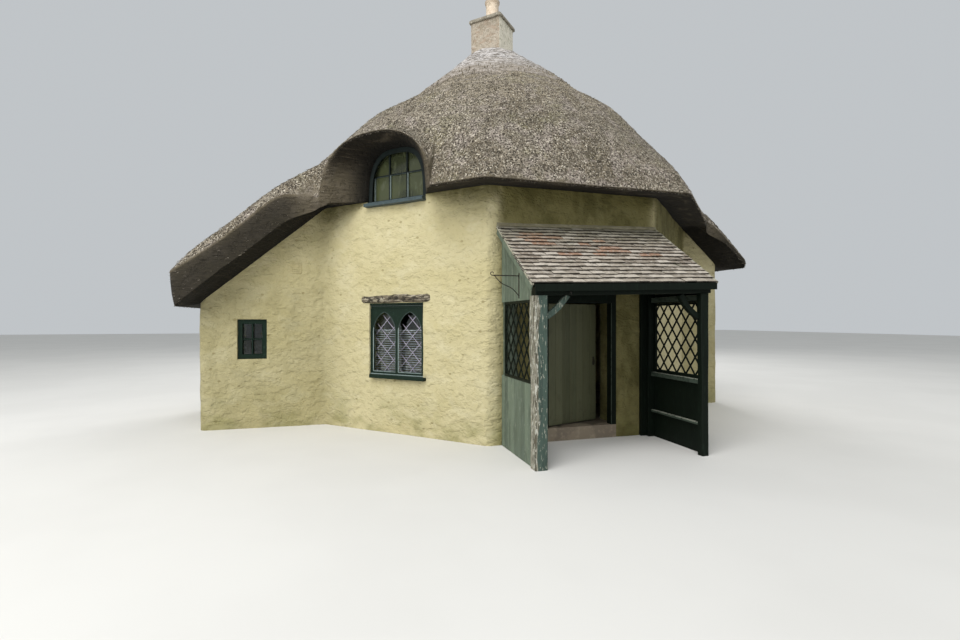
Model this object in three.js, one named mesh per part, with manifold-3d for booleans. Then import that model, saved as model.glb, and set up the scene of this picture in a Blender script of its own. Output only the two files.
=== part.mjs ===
// A thatched cottage of cob: an eight-sided body under one conical thatch round a central chimney,
// two low wings under the same roof, an eyebrow dormer over each upper window and a tiled porch.
// Units are millimetres, +Z is up, the porch faces -Y and the origin is on the ground.
import * as THREE from 'three';
import { mergeVertices } from 'three/addons/utils/BufferGeometryUtils.js';
import Module from 'manifold-3d';

const wasm = await Module();
wasm.setup();

// Working clearances: the gap that touching solids keep, a cutter's overrun and the weld of equal points
const GAP = 0.3;
const OVERRUN = 10;
const FAR = 9000;
const WELD = 0.001;

// Driving dimensions of the plan
const WALL = 450;
const FRONT_Y = 3250;
const FRONT_HALF = 1290;
const CANT = 2065;
const WING_LEFT_X = -5170;
const WING_RIGHT_X = 4200;

// Driving dimensions of the storeys
const WALL_TOP = 3440;
const WING_PITCH = 0.848;
const FLOOR_TOP = 180;
const UPPER_FLOOR_TOP = 2500;
const UPPER_FLOOR_THICK = 150;
const UPPER_FLOOR_HALF = 2900;

// Driving dimensions of the thatch
const AXIS_X = -190;
const EAVES_OUT = 500;
const WING_END_OUT = 300;
const EAVES_EDGE = 3465;
const EAVES_LIP = 20;
const EAVES_STEPS = [0, 40, 110, 220, 370, 550];
const SLOPE_SHARES = [0.9, 0.8, 0.7, 0.6, 0.5, 0.4, 0.3, 0.2, 0.1, 0];
const VERGE_DROP = 130;
const VERGE_LIFT = 100;
const VERGE_HIGHEST = 3500;
const THATCH_HEIGHT = 500;
const SEAT_SPARE = 200;
const COLLAR_RADIUS = 800;
const COLLAR_STEPS = [600, 450, 320];
const LEAN = 110;
const LEAN_TO = 3000;
const PLAIN_STEP = 0.08;
const FINE_STEP = 0.045;
const SEAM = 0.00006;
const SWELL_FADE = 400;

// Driving dimensions of the chimney
const STACK = 640;
const STACK_TOP = 7480;
const CAP = 700;
const CAP_THICK = 75;
const FLUE = 300;
const FLUE_FROM = 2600;
const POT_RADIUS = 130;
const POT_BORE = 100;
const POT_HEIGHT = 450;
const POT_LIP = 18;
const POT_LIP_HEIGHT = 40;
const ROUND_SIDES = 24;

// Driving dimensions of the windows, measured along a canted wall from its outer corner
const WINDOW_MIDDLE = 1390;
const DORMER_HALF = 535;
const DORMER_SILL = 3400;
const DORMER_HEAD = 4185;
const DORMER_FOOT = 45;
const DORMER_CLEAR = 3;
const MOUTH_HALF = 1087;
const MOUTH_HEAD = 4275;
const MOUTH_PAST = 200;
const TUNNEL_LENGTH = 1500;
const EYEBROW_MIDDLE = 1340;
const EYEBROW_HALF = 985;
const EYEBROW_TOP = 4285;
const EYEBROW_PITCH = 0.36;
const EYEBROW_POWER = 2.3;
const FRAME_POWER = 3;
const ARCH_SEGMENTS = 14;
const LOWER_HALF = 492;
const LOWER_SILL = 850;
const LOWER_HEAD = 1910;
const LOWER_FOOT = 40;
const LOWER_BAR = 45;
const LOWER_HEAD_RAIL = 130;
const LANCET_RISE = 1.15;
const LANCET_CURVE = 1.8;
const LANCET_STEPS = 6;
const SILL_THICK = 50;
const SILL_OUT = 80;
const LINTEL_HALF = 635;
const LINTEL_HEIGHT = 130;
const LINTEL_OUT = 35;
const LINTEL_DEPTH = 300;
const FRAME_DEPTH = 80;
const FRAME_SETBACK = 40;
const FRAME_BAR = 70;
const GLASS_THICK = 6;
const GLASS_IN = 20;
const WING_WINDOW_MIDDLE = 735;
const WING_WINDOW_HALF = 210;
const WING_WINDOW_SILL = 1060;
const WING_WINDOW_HEAD = 1670;

// Driving dimensions of the doorway
const DOOR_LEFT = -545;
const DOOR_RIGHT = 620;
const DOOR_HEAD = 2020;
const JAMB = 125;
const LATCH_JAMB = 82;
const JAMB_DEPTH = 110;
const LEAF_WIDTH = 935;
const LEAF_THICK = 45;
const LEAF_SETBACK = 50;
const LEAF_CLEAR = 6;
const LEAF_BOTTOM = FLOOR_TOP + 20;
const LEAF_TOP = 1885;
const LEAF_AJAR = 18;
const HINGE_RADIUS = 5;
const HINGE_HEIGHT = 50;
const HINGE_LEVELS = [480, 1550];
const HINGE_SIDES = 16;

// Driving dimensions of the porch
const PORCH_LEFT = -1117;
const PORCH_RIGHT = 1213;
const PORCH_OUT = 1260;
const PORCH_EAVE = 2107;
const PORCH_TOP = 2970;
const PORCH_SIDE_OUT = 60;
const PORCH_ROOF_THICK = 75;
const POST = 150;
const POST_SETBACK = 50;
const BACK_POST = 120;
const BEAM_BOTTOM = 1960;
const BEAM_DEPTH = 120;
const BEAM_PAST = 85;
const CHEEK = 30;
const CHEEK_SETBACK = 20;
const LATTICE_BOTTOM = 935;
const LATTICE_TOP = 1890;
const LATTICE_BAR = 20;
const LATTICE_THICK = 12;
const LATTICE_WIDE = 180;
const LATTICE_TALL = 232;
const LATTICE_RIM = 30;
const BRACE = 70;
const BRACE_LEG = 270;
const RAIL_HEIGHT = 385;
const RAIL_TALL = 30;
const RAIL_DEEP = 70;
const BITE = 5;

// Outline of the walls, anticlockwise from the front corner of the left wing
const FOLD_X = FRONT_HALF + CANT;
const FOLD_Y = FRONT_Y - CANT;
const OUTLINE = [
  [WING_LEFT_X, -FOLD_Y], [-FOLD_X, -FOLD_Y], [-FRONT_HALF, -FRONT_Y], [FRONT_HALF, -FRONT_Y],
  [FOLD_X, -FOLD_Y], [WING_RIGHT_X, -FOLD_Y], [WING_RIGHT_X, FOLD_Y], [FOLD_X, FOLD_Y],
  [FRONT_HALF, FRONT_Y], [-FRONT_HALF, FRONT_Y], [-FOLD_X, FOLD_Y], [WING_LEFT_X, FOLD_Y],
].map(([x, y]) => new THREE.Vector2(x, y));

// Sides of the outline, each from its corner of the same number to the next
const SIDE = {
  wingLeftFront: 0, windowWall: 1, front: 2, right: 3, wingRightFront: 4, wingRightEnd: 5,
  wingRightBack: 6, backWindowWall: 7, back: 8, backLeft: 9, wingLeftBack: 10, wingLeftEnd: 11,
};
const WING_END_SIDES = [SIDE.wingRightEnd, SIDE.wingLeftEnd];
const DORMER_SIDES = [SIDE.windowWall, SIDE.backWindowWall];

const COLOURS = {
  cob: 0xc9be95, thatch: 0x8a8274, timber: 0x535f54, frame: 0x404a3b, glass: 0x59636a,
  stone: 0xb2aa9c, clay: 0xdfceb8, tile: 0x837a6b, boards: 0x7c8068, oak: 0x7d7564, floor: 0x8a6f52,
};
const cottage = new THREE.Group();

function addPiece(name, geometry, kind, roughness = 0.85) {
  const material = new THREE.MeshStandardMaterial({ color: COLOURS[kind], roughness, metalness: 0 });
  const mesh = new THREE.Mesh(geometry, material);
  mesh.name = name;
  cottage.add(mesh);
  return mesh;
}

// Solids

function toSolid(geometry) {
  const bare = geometry.clone();
  bare.deleteAttribute('normal');
  bare.deleteAttribute('uv');
  const merged = mergeVertices(bare, WELD);
  const mesh = new wasm.Mesh({
    numProp: 3,
    vertProperties: new Float32Array(merged.attributes.position.array),
    triVerts: new Uint32Array(merged.index.array),
  });
  return new wasm.Manifold(mesh);
}

function toGeometry(solid) {
  const mesh = solid.getMesh();
  const geometry = new THREE.BufferGeometry();
  geometry.setAttribute('position', new THREE.BufferAttribute(new Float32Array(mesh.vertProperties), 3));
  geometry.setIndex(new THREE.BufferAttribute(new Uint32Array(mesh.triVerts), 1));
  return geometry;
}

function cutAway(geometry, cutters) {
  return toGeometry(cutters.reduce((solid, cutter) => solid.subtract(toSolid(cutter)), toSolid(geometry)));
}

function join(parts) {
  return toGeometry(parts.map(toSolid).reduce((whole, part) => whole.add(part)));
}

function box(x0, x1, y0, y1, z0, z1) {
  const geometry = new THREE.BoxGeometry(x1 - x0, y1 - y0, z1 - z0);
  return geometry.translate((x0 + x1) / 2, (y0 + y1) / 2, (z0 + z1) / 2);
}

// A plan outline carried straight up from z0 to z1
function upright(points, z0, z1, holes = []) {
  const shape = new THREE.Shape(points);
  shape.holes = holes.map((hole) => new THREE.Path(hole));
  return new THREE.ExtrudeGeometry(shape, { depth: z1 - z0, bevelEnabled: false }).translate(0, 0, z0);
}

// A shape drawn in x and z as (x, z), carried from y0 back to y1
function drawnInFront(shape, y0, y1) {
  const geometry = new THREE.ExtrudeGeometry(shape, { depth: y1 - y0, bevelEnabled: false });
  return geometry.rotateX(Math.PI / 2).translate(0, y1, 0);
}

// A shape drawn in y and z as (y, z), carried from x0 to x1
function drawnFromSide(points, x0, x1) {
  const shape = new THREE.Shape(points.map(([y, z]) => new THREE.Vector2(y, z)));
  const geometry = new THREE.ExtrudeGeometry(shape, { depth: x1 - x0, bevelEnabled: false });
  return geometry.rotateZ(Math.PI / 2).rotateY(Math.PI / 2).translate(x0, 0, 0);
}

// A closed skin over a row of sections with the same number of points, capped at both ends
function loft(sections) {
  const size = sections[0].length;
  const positions = sections.flat().flatMap((point) => [point.x, point.y, point.z]);
  const index = [];
  for (let row = 0; row + 1 < sections.length; row += 1) {
    for (let i = 0; i < size; i += 1) {
      const a = row * size + i;
      const b = row * size + ((i + 1) % size);
      index.push(a, b, a + size, b, b + size, a + size);
    }
  }
  const capFlat = (section) => {
    const along = section[Math.floor(size / 2)].clone().sub(section[0]).setZ(0).normalize();
    return section.map((point) => new THREE.Vector2(point.dot(along), point.z));
  };
  const last = (sections.length - 1) * size;
  const firstTurn = THREE.ShapeUtils.isClockWise(capFlat(sections[0]));
  THREE.ShapeUtils.triangulateShape(capFlat(sections[0]), []).forEach(([a, b, c]) => {
    index.push(...(firstTurn ? [a, b, c] : [a, c, b]));
  });
  THREE.ShapeUtils.triangulateShape(capFlat(sections[sections.length - 1]), []).forEach(([a, b, c]) => {
    index.push(...(firstTurn ? [last + a, last + c, last + b] : [last + a, last + b, last + c]));
  });
  const geometry = new THREE.BufferGeometry();
  geometry.setAttribute('position', new THREE.Float32BufferAttribute(positions, 3));
  geometry.setIndex(index);
  return faceOutward(geometry);
}

// A profile of (radius, height) turned round the chimney's axis
function turned(profile, sides) {
  const points = profile.map(([r, z]) => new THREE.Vector2(r, z));
  const geometry = new THREE.LatheGeometry(points, sides).rotateX(Math.PI / 2).translate(AXIS_X, 0, 0);
  geometry.deleteAttribute('normal');
  geometry.deleteAttribute('uv');
  return faceOutward(mergeVertices(geometry, WELD));
}

function faceOutward(geometry) {
  const p = geometry.attributes.position;
  const index = geometry.index.array;
  const [a, b, c] = [new THREE.Vector3(), new THREE.Vector3(), new THREE.Vector3()];
  let volume = 0;
  for (let i = 0; i < index.length; i += 3) {
    a.fromBufferAttribute(p, index[i]);
    b.fromBufferAttribute(p, index[i + 1]);
    c.fromBufferAttribute(p, index[i + 2]);
    volume += a.dot(b.cross(c));
  }
  if (volume < 0) {
    for (let i = 0; i < index.length; i += 3) [index[i], index[i + 1]] = [index[i + 1], index[i]];
  }
  return geometry;
}

// Plan geometry

function sideFrame(side) {
  const start = OUTLINE[side];
  const end = OUTLINE[(side + 1) % OUTLINE.length];
  const along = end.clone().sub(start);
  const length = along.length();
  return { start, length, angle: along.angle(), along: along.normalize() };
}

// Moves a piece drawn against a wall, x along it, y into it, to that wall's place
function against(side, geometry) {
  const { start, angle } = sideFrame(side);
  return geometry.rotateZ(angle).translate(start.x, start.y, 0);
}

function turnAt(corner) {
  const before = sideFrame((corner + OUTLINE.length - 1) % OUTLINE.length).angle;
  const turn = sideFrame(corner).angle - before;
  return Math.atan2(Math.sin(turn), Math.cos(turn));
}

// The outline moved inward by a distance for each side, outward where it is negative
function movedOutline(distanceOf) {
  return OUTLINE.map((corner, i) => {
    const before = (i + OUTLINE.length - 1) % OUTLINE.length;
    const [one, two] = [sideFrame(before), sideFrame(i)];
    const inwardOf = (frame) => new THREE.Vector2(-frame.along.y, frame.along.x);
    const [n1, n2] = [inwardOf(one), inwardOf(two)];
    const cross = n1.cross(n2);
    const [d1, d2] = [distanceOf(before), distanceOf(i)];
    return new THREE.Vector2(
      corner.x + (d1 * n2.y - d2 * n1.y) / cross,
      corner.y + (d2 * n1.x - d1 * n2.x) / cross,
    );
  });
}

const INNER_OUTLINE = movedOutline(() => WALL);
const RIM = movedOutline((side) => -(WING_END_SIDES.includes(side) ? WING_END_OUT : EAVES_OUT));

// Height of the flat underside of the thatch, level over the body and raked over the wings
function undersideAt(x) {
  return WALL_TOP - WING_PITCH * Math.max(0, Math.abs(x) - FOLD_X);
}

// Walls

function wallPiece(side, { from = null, to = null, bottom = 0, top = WALL_TOP, cuts = [] } = {}) {
  const { length } = sideFrame(side);
  const startIn = Math.tan(turnAt(side) / 2) * WALL;
  const endIn = Math.tan(turnAt((side + 1) % OUTLINE.length) / 2) * WALL;
  const [x0, x0in] = from === null ? [GAP, startIn + GAP] : [from, from];
  const [x1, x1in] = to === null ? [length - GAP, length - endIn - GAP] : [to, to];
  const plan = [[x0, 0], [x1, 0], [x1in, WALL], [x0in, WALL]].map(([x, y]) => new THREE.Vector2(x, y));
  const wall = upright(plan, bottom, top);
  return against(side, cuts.length ? cutAway(wall, cuts) : wall);
}

// All that lies above the walls' tops, level over the body and raked over the wings, or all below them
function besideRake(level, edge) {
  const low = level - WING_PITCH * (FAR - FOLD_X);
  const shape = new THREE.Shape([
    [-FAR, low], [-FOLD_X, level], [FOLD_X, level], [FAR, low], [FAR, edge], [-FAR, edge],
  ].map(([x, z]) => new THREE.Vector2(x, z)));
  return drawnInFront(shape, -FAR, FAR);
}

function rakedWall(side, cuts = []) {
  return cutAway(wallPiece(side, { cuts }), [besideRake(WALL_TOP, FAR)]);
}

function throughWall(x0, x1, z0, z1) {
  return box(x0, x1, -WALL, 2 * WALL, z0, z1);
}

const lowerWindowHole = () => throughWall(
  WINDOW_MIDDLE - LOWER_HALF - GAP, WINDOW_MIDDLE + LOWER_HALF + GAP,
  LOWER_SILL - SILL_THICK - GAP, LOWER_HEAD + GAP,
);
const lintelPocket = () => box(
  WINDOW_MIDDLE - LINTEL_HALF - GAP, WINDOW_MIDDLE + LINTEL_HALF + GAP, -WALL, LINTEL_DEPTH,
  LOWER_HEAD - GAP, LOWER_HEAD + LINTEL_HEIGHT + GAP,
);
const dormerNotch = () => throughWall(
  WINDOW_MIDDLE - DORMER_HALF - GAP, WINDOW_MIDDLE + DORMER_HALF + GAP,
  DORMER_SILL - SILL_THICK - GAP, WALL_TOP + OVERRUN,
);

function buildWalls() {
  const doorLeft = DOOR_LEFT + FRONT_HALF;
  const doorRight = DOOR_RIGHT + FRONT_HALF;
  const windowCuts = () => [lowerWindowHole(), lintelPocket(), dormerNotch()];
  const wingWindow = throughWall(
    WING_WINDOW_MIDDLE - WING_WINDOW_HALF - GAP, WING_WINDOW_MIDDLE + WING_WINDOW_HALF + GAP,
    WING_WINDOW_SILL - GAP, WING_WINDOW_HEAD + GAP,
  );
  addPiece('wall_door_left', wallPiece(SIDE.front, { to: doorLeft - GAP }), 'cob');
  addPiece('wall_door_right', wallPiece(SIDE.front, { from: doorRight + GAP }), 'cob');
  addPiece('wall_door_over', wallPiece(SIDE.front, {
    from: doorLeft, to: doorRight, bottom: DOOR_HEAD + GAP,
  }), 'cob');
  addPiece('wall_window_front', wallPiece(SIDE.windowWall, { cuts: windowCuts() }), 'cob');
  addPiece('wall_right', wallPiece(SIDE.right), 'cob');
  addPiece('wall_window_back', wallPiece(SIDE.backWindowWall, { cuts: windowCuts() }), 'cob');
  addPiece('wall_back', wallPiece(SIDE.back), 'cob');
  addPiece('wall_back_left', wallPiece(SIDE.backLeft), 'cob');
  addPiece('wing_left_front', rakedWall(SIDE.wingLeftFront, [wingWindow]), 'cob');
  addPiece('wing_left_end', rakedWall(SIDE.wingLeftEnd), 'cob');
  addPiece('wing_left_back', rakedWall(SIDE.wingLeftBack), 'cob');
  addPiece('wing_right_front', rakedWall(SIDE.wingRightFront), 'cob');
  addPiece('wing_right_end', rakedWall(SIDE.wingRightEnd), 'cob');
  addPiece('wing_right_back', rakedWall(SIDE.wingRightBack), 'cob');
}

// Floors and chimney

function squareOnAxis(size) {
  const reach = size / Math.SQRT2;
  return [[reach, 0], [0, reach], [-reach, 0], [0, -reach]].map(([x, y]) => new THREE.Vector2(AXIS_X + x, y));
}

function buildFloors() {
  const plan = movedOutline(() => WALL + GAP);
  addPiece('ground_floor', upright(plan, 0, FLOOR_TOP), 'floor');
  const underFloor = UPPER_FLOOR_TOP - UPPER_FLOOR_THICK;
  const upper = upright(plan, underFloor, UPPER_FLOOR_TOP, [squareOnAxis(STACK + 2 * GAP)]);
  addPiece('upper_floor', cutAway(upper, [
    box(-FAR, -UPPER_FLOOR_HALF, -FAR, FAR, 0, FAR),
    box(UPPER_FLOOR_HALF, FAR, -FAR, FAR, 0, FAR),
  ]), 'floor');
  addPiece('door_sill', box(
    DOOR_LEFT + GAP, DOOR_RIGHT - GAP, -FRONT_Y, -FRONT_Y + WALL, 0, FLOOR_TOP,
  ), 'stone');
}

function buildChimney() {
  const stack = upright(squareOnAxis(STACK), FLOOR_TOP + GAP, STACK_TOP);
  const flue = upright(squareOnAxis(FLUE), FLUE_FROM, STACK_TOP + OVERRUN);
  addPiece('chimney_stack', cutAway(stack, [flue]), 'stone');
  const capBottom = STACK_TOP + GAP;
  const capTop = capBottom + CAP_THICK;
  const bore = new THREE.CylinderGeometry(POT_BORE, POT_BORE, 4 * CAP_THICK, ROUND_SIDES);
  bore.rotateX(Math.PI / 2).translate(AXIS_X, 0, capBottom);
  addPiece('chimney_cap', cutAway(upright(squareOnAxis(CAP), capBottom, capTop), [bore]), 'stone');
  const potBottom = capTop + GAP;
  const lipBottom = POT_HEIGHT - POT_LIP_HEIGHT;
  const pot = turned([
    [POT_BORE, 0], [POT_RADIUS, 0], [POT_RADIUS, lipBottom], [POT_RADIUS + POT_LIP, lipBottom],
    [POT_RADIUS + POT_LIP, POT_HEIGHT], [POT_BORE, POT_HEIGHT], [POT_BORE, 0],
  ], ROUND_SIDES);
  addPiece('chimney_pot', join([pot.translate(0, 0, potBottom)]), 'clay', 0.7);
}

// Thatch

// The main slope of the thatch, as (distance from the chimney's axis, height)
const SLOPE = [
  [0, 7330], [300, 7080], [600, 6730], [1000, 6380], [1500, 5950], [2000, 5550], [2500, 5180],
  [3000, 4640], [3500, 4100], [4200, 3610], [4900, 2925], [5700, 2310], [6500, 1700],
];

// The swells that dressing leaves in the slope, as (distance between crests, direction in degrees, height)
const SWELLS = [[1450, 20, 10], [1180, 85, 9], [1320, 145, 8]];

// The slope at a distance and an angle: the cone leans, higher to the right and lower to the left
function slopeAt(radius, angle = Math.PI / 2) {
  const next = SLOPE.findIndex(([r]) => r > radius);
  const [r0, z0] = SLOPE[next - 1];
  const [r1, z1] = SLOPE[next];
  const share = THREE.MathUtils.clamp((radius - COLLAR_RADIUS) / (LEAN_TO - COLLAR_RADIUS), 0, 1);
  const lean = LEAN * Math.sin(Math.PI * share) * Math.cos(angle);
  return z0 + ((z1 - z0) * (radius - r0)) / (r1 - r0) + lean;
}

function swellAt(point) {
  return SWELLS.reduce((sum, [length, degrees, height]) => {
    const turn = THREE.MathUtils.degToRad(degrees);
    const along = point.x * Math.cos(turn) + point.y * Math.sin(turn);
    return sum + height * Math.sin((2 * Math.PI * along) / length);
  }, 0);
}

// Where the ray from the axis at this angle leaves an outline, with the side it crosses
function reachOf(outline, angle) {
  const ray = new THREE.Vector2(Math.cos(angle), Math.sin(angle));
  let best = null;
  outline.forEach((start, side) => {
    const edge = outline[(side + 1) % outline.length].clone().sub(start);
    const offset = start.clone().sub(new THREE.Vector2(AXIS_X, 0));
    const cross = ray.cross(edge);
    const distance = offset.cross(edge) / cross;
    const share = offset.cross(ray) / cross;
    if (distance > 0 && share > -1e-9 && share < 1 + 1e-9 && (!best || distance < best.distance)) {
      best = { distance, side };
    }
  });
  return best;
}

function angleOf(point) {
  return Math.atan2(point.y, point.x - AXIS_X);
}

// Height of the thatch's upper edge at a point on its rim
function rimTopAt(side, point, radius) {
  if (!DORMER_SIDES.includes(side)) {
    const onWing = Math.abs(point.x) > FOLD_X + EAVES_OUT / 2;
    return onWing ? Math.min(slopeAt(radius) - VERGE_DROP, VERGE_HIGHEST) : EAVES_EDGE;
  }
  const { start, along } = sideFrame(side);
  const share = (point.clone().sub(start).dot(along) - EYEBROW_MIDDLE) / EYEBROW_HALF;
  const arch = Math.max(0, 1 - Math.abs(share) ** EYEBROW_POWER) ** (1 / EYEBROW_POWER);
  return EAVES_EDGE + (EYEBROW_TOP - EAVES_EDGE) * arch;
}

// One section of the thatch, cut from its rim to the collar at an angle round the axis
function thatchSection(angle) {
  const rim = reachOf(RIM, angle);
  const inner = reachOf(INNER_OUTLINE, angle).distance;
  const at = (radius) => new THREE.Vector2(AXIS_X + radius * Math.cos(angle), radius * Math.sin(angle));
  const rimPoint = at(rim.distance);
  const rimTop = rimTopAt(rim.side, rimPoint, rim.distance);
  const drop = slopeAt(rim.distance, angle) - rimTop;
  const round = EAVES_STEPS[EAVES_STEPS.length - 1];
  // The swells die out at the collar and at the rim
  const fade = (distance) => THREE.MathUtils.clamp(distance / SWELL_FADE, 0, 1);
  const outerAt = (radius) => {
    const out = rim.distance - radius;
    const near = Math.max(0, 1 - out / round);
    const swell = swellAt(at(radius)) * fade(radius - COLLAR_RADIUS) * fade(out);
    const rounded = slopeAt(radius, angle) + swell - Math.max(0, drop) * near * near;
    return drop < 0 ? Math.max(rounded, rimTop + EYEBROW_PITCH * out) : rounded;
  };
  const point = (radius, z) => new THREE.Vector3(at(radius).x, at(radius).y, z);
  const eaves = EAVES_STEPS.map((d) => rim.distance - d);
  const shoulder = rim.distance - round;
  const rings = SLOPE_SHARES.map((share) => COLLAR_RADIUS + (shoulder - COLLAR_RADIUS) * share);
  const top = [...eaves, ...rings].map((radius) => point(radius, outerAt(radius)));
  const under = [COLLAR_RADIUS, 0.5 * (COLLAR_RADIUS + inner), inner].map(
    (radius) => point(radius, slopeAt(radius, angle) - THATCH_HEIGHT),
  );
  const seat = [inner, 0.5 * (inner + rim.distance)].map(
    (radius) => point(radius, undersideAt(at(radius).x) - SEAT_SPARE),
  );
  const lift = Math.abs(rimPoint.x) > FOLD_X + EAVES_OUT / 2 ? VERGE_LIFT : 0;
  const rimBottom = point(rim.distance, Math.min(undersideAt(rimPoint.x) + lift, rimTop - EAVES_LIP));
  return [...top, ...under, ...seat, rimBottom];
}

// A run of thatch between two angles, with a section at every corner and every so often between
function thatchRun(fromAngle, toAngle, step) {
  const nearest = step / 12;
  const turn = (angle) => (angle < fromAngle ? angle + 2 * Math.PI : angle);
  const corners = [...RIM, ...INNER_OUTLINE].map((corner) => turn(angleOf(corner)));
  const inside = corners.filter((angle) => angle > fromAngle + nearest && angle < toAngle - nearest);
  const marks = [fromAngle, ...inside.sort((a, b) => a - b), toAngle];
  const angles = [];
  marks.slice(0, -1).forEach((mark, i) => {
    const count = Math.max(1, Math.ceil((marks[i + 1] - mark) / step));
    for (let k = 0; k < count; k += 1) angles.push(mark + ((marks[i + 1] - mark) * k) / count);
  });
  angles.push(toAngle);
  return loft(angles.map(thatchSection));
}

// A point of an arch as (across, up): half an ellipse, squarer as the power rises above 2
function archPoint(angle, half, rise, power) {
  const [across, up] = [Math.cos(angle), Math.sin(angle)];
  return [
    half * Math.sign(across) * Math.abs(across) ** (2 / power),
    rise * Math.abs(up) ** (2 / power),
  ];
}

// The tunnel through the eaves in front of an upper window, narrowing from its mouth to the frame
function dormerTunnel(side) {
  const archAt = (y, middle, half, head, power) => {
    const points = [new THREE.Vector3(middle + half, y, 0), new THREE.Vector3(middle - half, y, 0)];
    for (let i = 0; i <= ARCH_SEGMENTS; i += 1) {
      const [x, z] = archPoint(Math.PI * (1 - i / ARCH_SEGMENTS), half, head - DORMER_SILL, power);
      points.push(new THREE.Vector3(middle + x, y, DORMER_SILL + z));
    }
    return points;
  };
  const [half, head] = [DORMER_HALF + DORMER_CLEAR, DORMER_HEAD + DORMER_CLEAR];
  return against(side, loft([
    archAt(-EAVES_OUT - MOUTH_PAST, EYEBROW_MIDDLE, MOUTH_HALF, MOUTH_HEAD, EYEBROW_POWER),
    archAt(0, WINDOW_MIDDLE, half, head, FRAME_POWER),
    archAt(TUNNEL_LENGTH, WINDOW_MIDDLE, half, head, FRAME_POWER),
  ]));
}

function buildThatch() {
  const cornerAngle = (corner) => angleOf(RIM[corner]);
  const full = 2 * Math.PI;
  const runs = [
    ['thatch_wing_left', cornerAngle(10), cornerAngle(1) + full, PLAIN_STEP, null],
    ['thatch_window_front', cornerAngle(1), cornerAngle(2), FINE_STEP, SIDE.windowWall],
    ['thatch_front', cornerAngle(2), cornerAngle(3), PLAIN_STEP, null],
    ['thatch_wing_right', cornerAngle(3), cornerAngle(7), PLAIN_STEP, null],
    ['thatch_window_back', cornerAngle(7), cornerAngle(8), FINE_STEP, SIDE.backWindowWall],
    ['thatch_back', cornerAngle(8), cornerAngle(10), PLAIN_STEP, null],
  ];
  runs.forEach(([name, from, to, step, dormer]) => {
    const cuts = [besideRake(WALL_TOP + GAP, -FAR)];
    if (dormer !== null) cuts.push(dormerTunnel(dormer));
    addPiece(name, cutAway(thatchRun(from + SEAM, to - SEAM, step), cuts), 'thatch', 0.95);
  });
  const under = slopeAt(COLLAR_RADIUS) - THATCH_HEIGHT;
  const radius = COLLAR_RADIUS * Math.cos(PLAIN_STEP / 2) - GAP;
  const peak = slopeAt(COLLAR_STEPS[COLLAR_STEPS.length - 1]);
  const collar = turned([
    [0, under], [radius, under], [radius, slopeAt(radius)],
    ...COLLAR_STEPS.map((r) => [r, slopeAt(r)]), [0, peak],
  ], 2 * ROUND_SIDES);
  const stackHole = upright(squareOnAxis(STACK + 2 * GAP), under - OVERRUN, peak + OVERRUN);
  addPiece('thatch_collar', cutAway(collar, [stackHole]), 'thatch', 0.95);
}

// Windows

// A light with a pointed head: straight sides and two arcs that meet at the top
function lancet(middle, half, sill, head) {
  const spring = head - half * LANCET_RISE;
  const haunch = Array.from({ length: LANCET_STEPS + 1 }, (unused, i) => i / LANCET_STEPS).map((share) => [
    half * (1 - share ** LANCET_CURVE), spring + (head - spring) * Math.sin((share * Math.PI) / 2),
  ]);
  const right = haunch.map(([x, z]) => new THREE.Vector2(middle + x, z));
  const left = haunch.slice(0, -1).reverse().map(([x, z]) => new THREE.Vector2(middle - x, z));
  return [new THREE.Vector2(middle - half, sill), new THREE.Vector2(middle + half, sill), ...right, ...left];
}

const FRAME_BACK = FRAME_SETBACK + FRAME_DEPTH;
const GLASS_Y = FRAME_BACK + GAP;

function lowerWindow(side, place) {
  const [x0, x1] = [WINDOW_MIDDLE - LOWER_HALF, WINDOW_MIDDLE + LOWER_HALF];
  const lightHalf = (LOWER_HALF - 1.5 * LOWER_BAR) / 2;
  const lights = [-1, 1].map((sign) => drawnInFront(new THREE.Shape(lancet(
    WINDOW_MIDDLE + sign * (lightHalf + LOWER_BAR / 2), lightHalf,
    LOWER_SILL + LOWER_FOOT, LOWER_HEAD - LOWER_HEAD_RAIL,
  )), 0, WALL));
  const body = cutAway(box(x0, x1, FRAME_SETBACK, FRAME_BACK, LOWER_SILL - BITE, LOWER_HEAD - GAP), lights);
  const sill = box(x0, x1, -SILL_OUT, FRAME_BACK, LOWER_SILL - SILL_THICK, LOWER_SILL);
  addPiece(`window_${place}_frame`, against(side, join([body, sill])), 'frame', 0.5);
  const glass = box(
    x0 + GLASS_IN, x1 - GLASS_IN, GLASS_Y, GLASS_Y + GLASS_THICK,
    LOWER_SILL + GLASS_IN, LOWER_HEAD - GLASS_IN,
  );
  addPiece(`window_${place}_glass`, against(side, glass), 'glass', 0.1);
  const lintel = box(
    WINDOW_MIDDLE - LINTEL_HALF, WINDOW_MIDDLE + LINTEL_HALF, -LINTEL_OUT, LINTEL_DEPTH - GAP,
    LOWER_HEAD, LOWER_HEAD + LINTEL_HEIGHT,
  );
  addPiece(`window_${place}_lintel`, against(side, lintel), 'oak');
}

function archPoints(half, sill, head) {
  return Array.from({ length: ARCH_SEGMENTS + 1 }, (unused, i) => {
    const [x, z] = archPoint((Math.PI * i) / ARCH_SEGMENTS, half, head - sill, FRAME_POWER);
    return new THREE.Vector2(WINDOW_MIDDLE + x, sill + z);
  });
}

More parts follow.
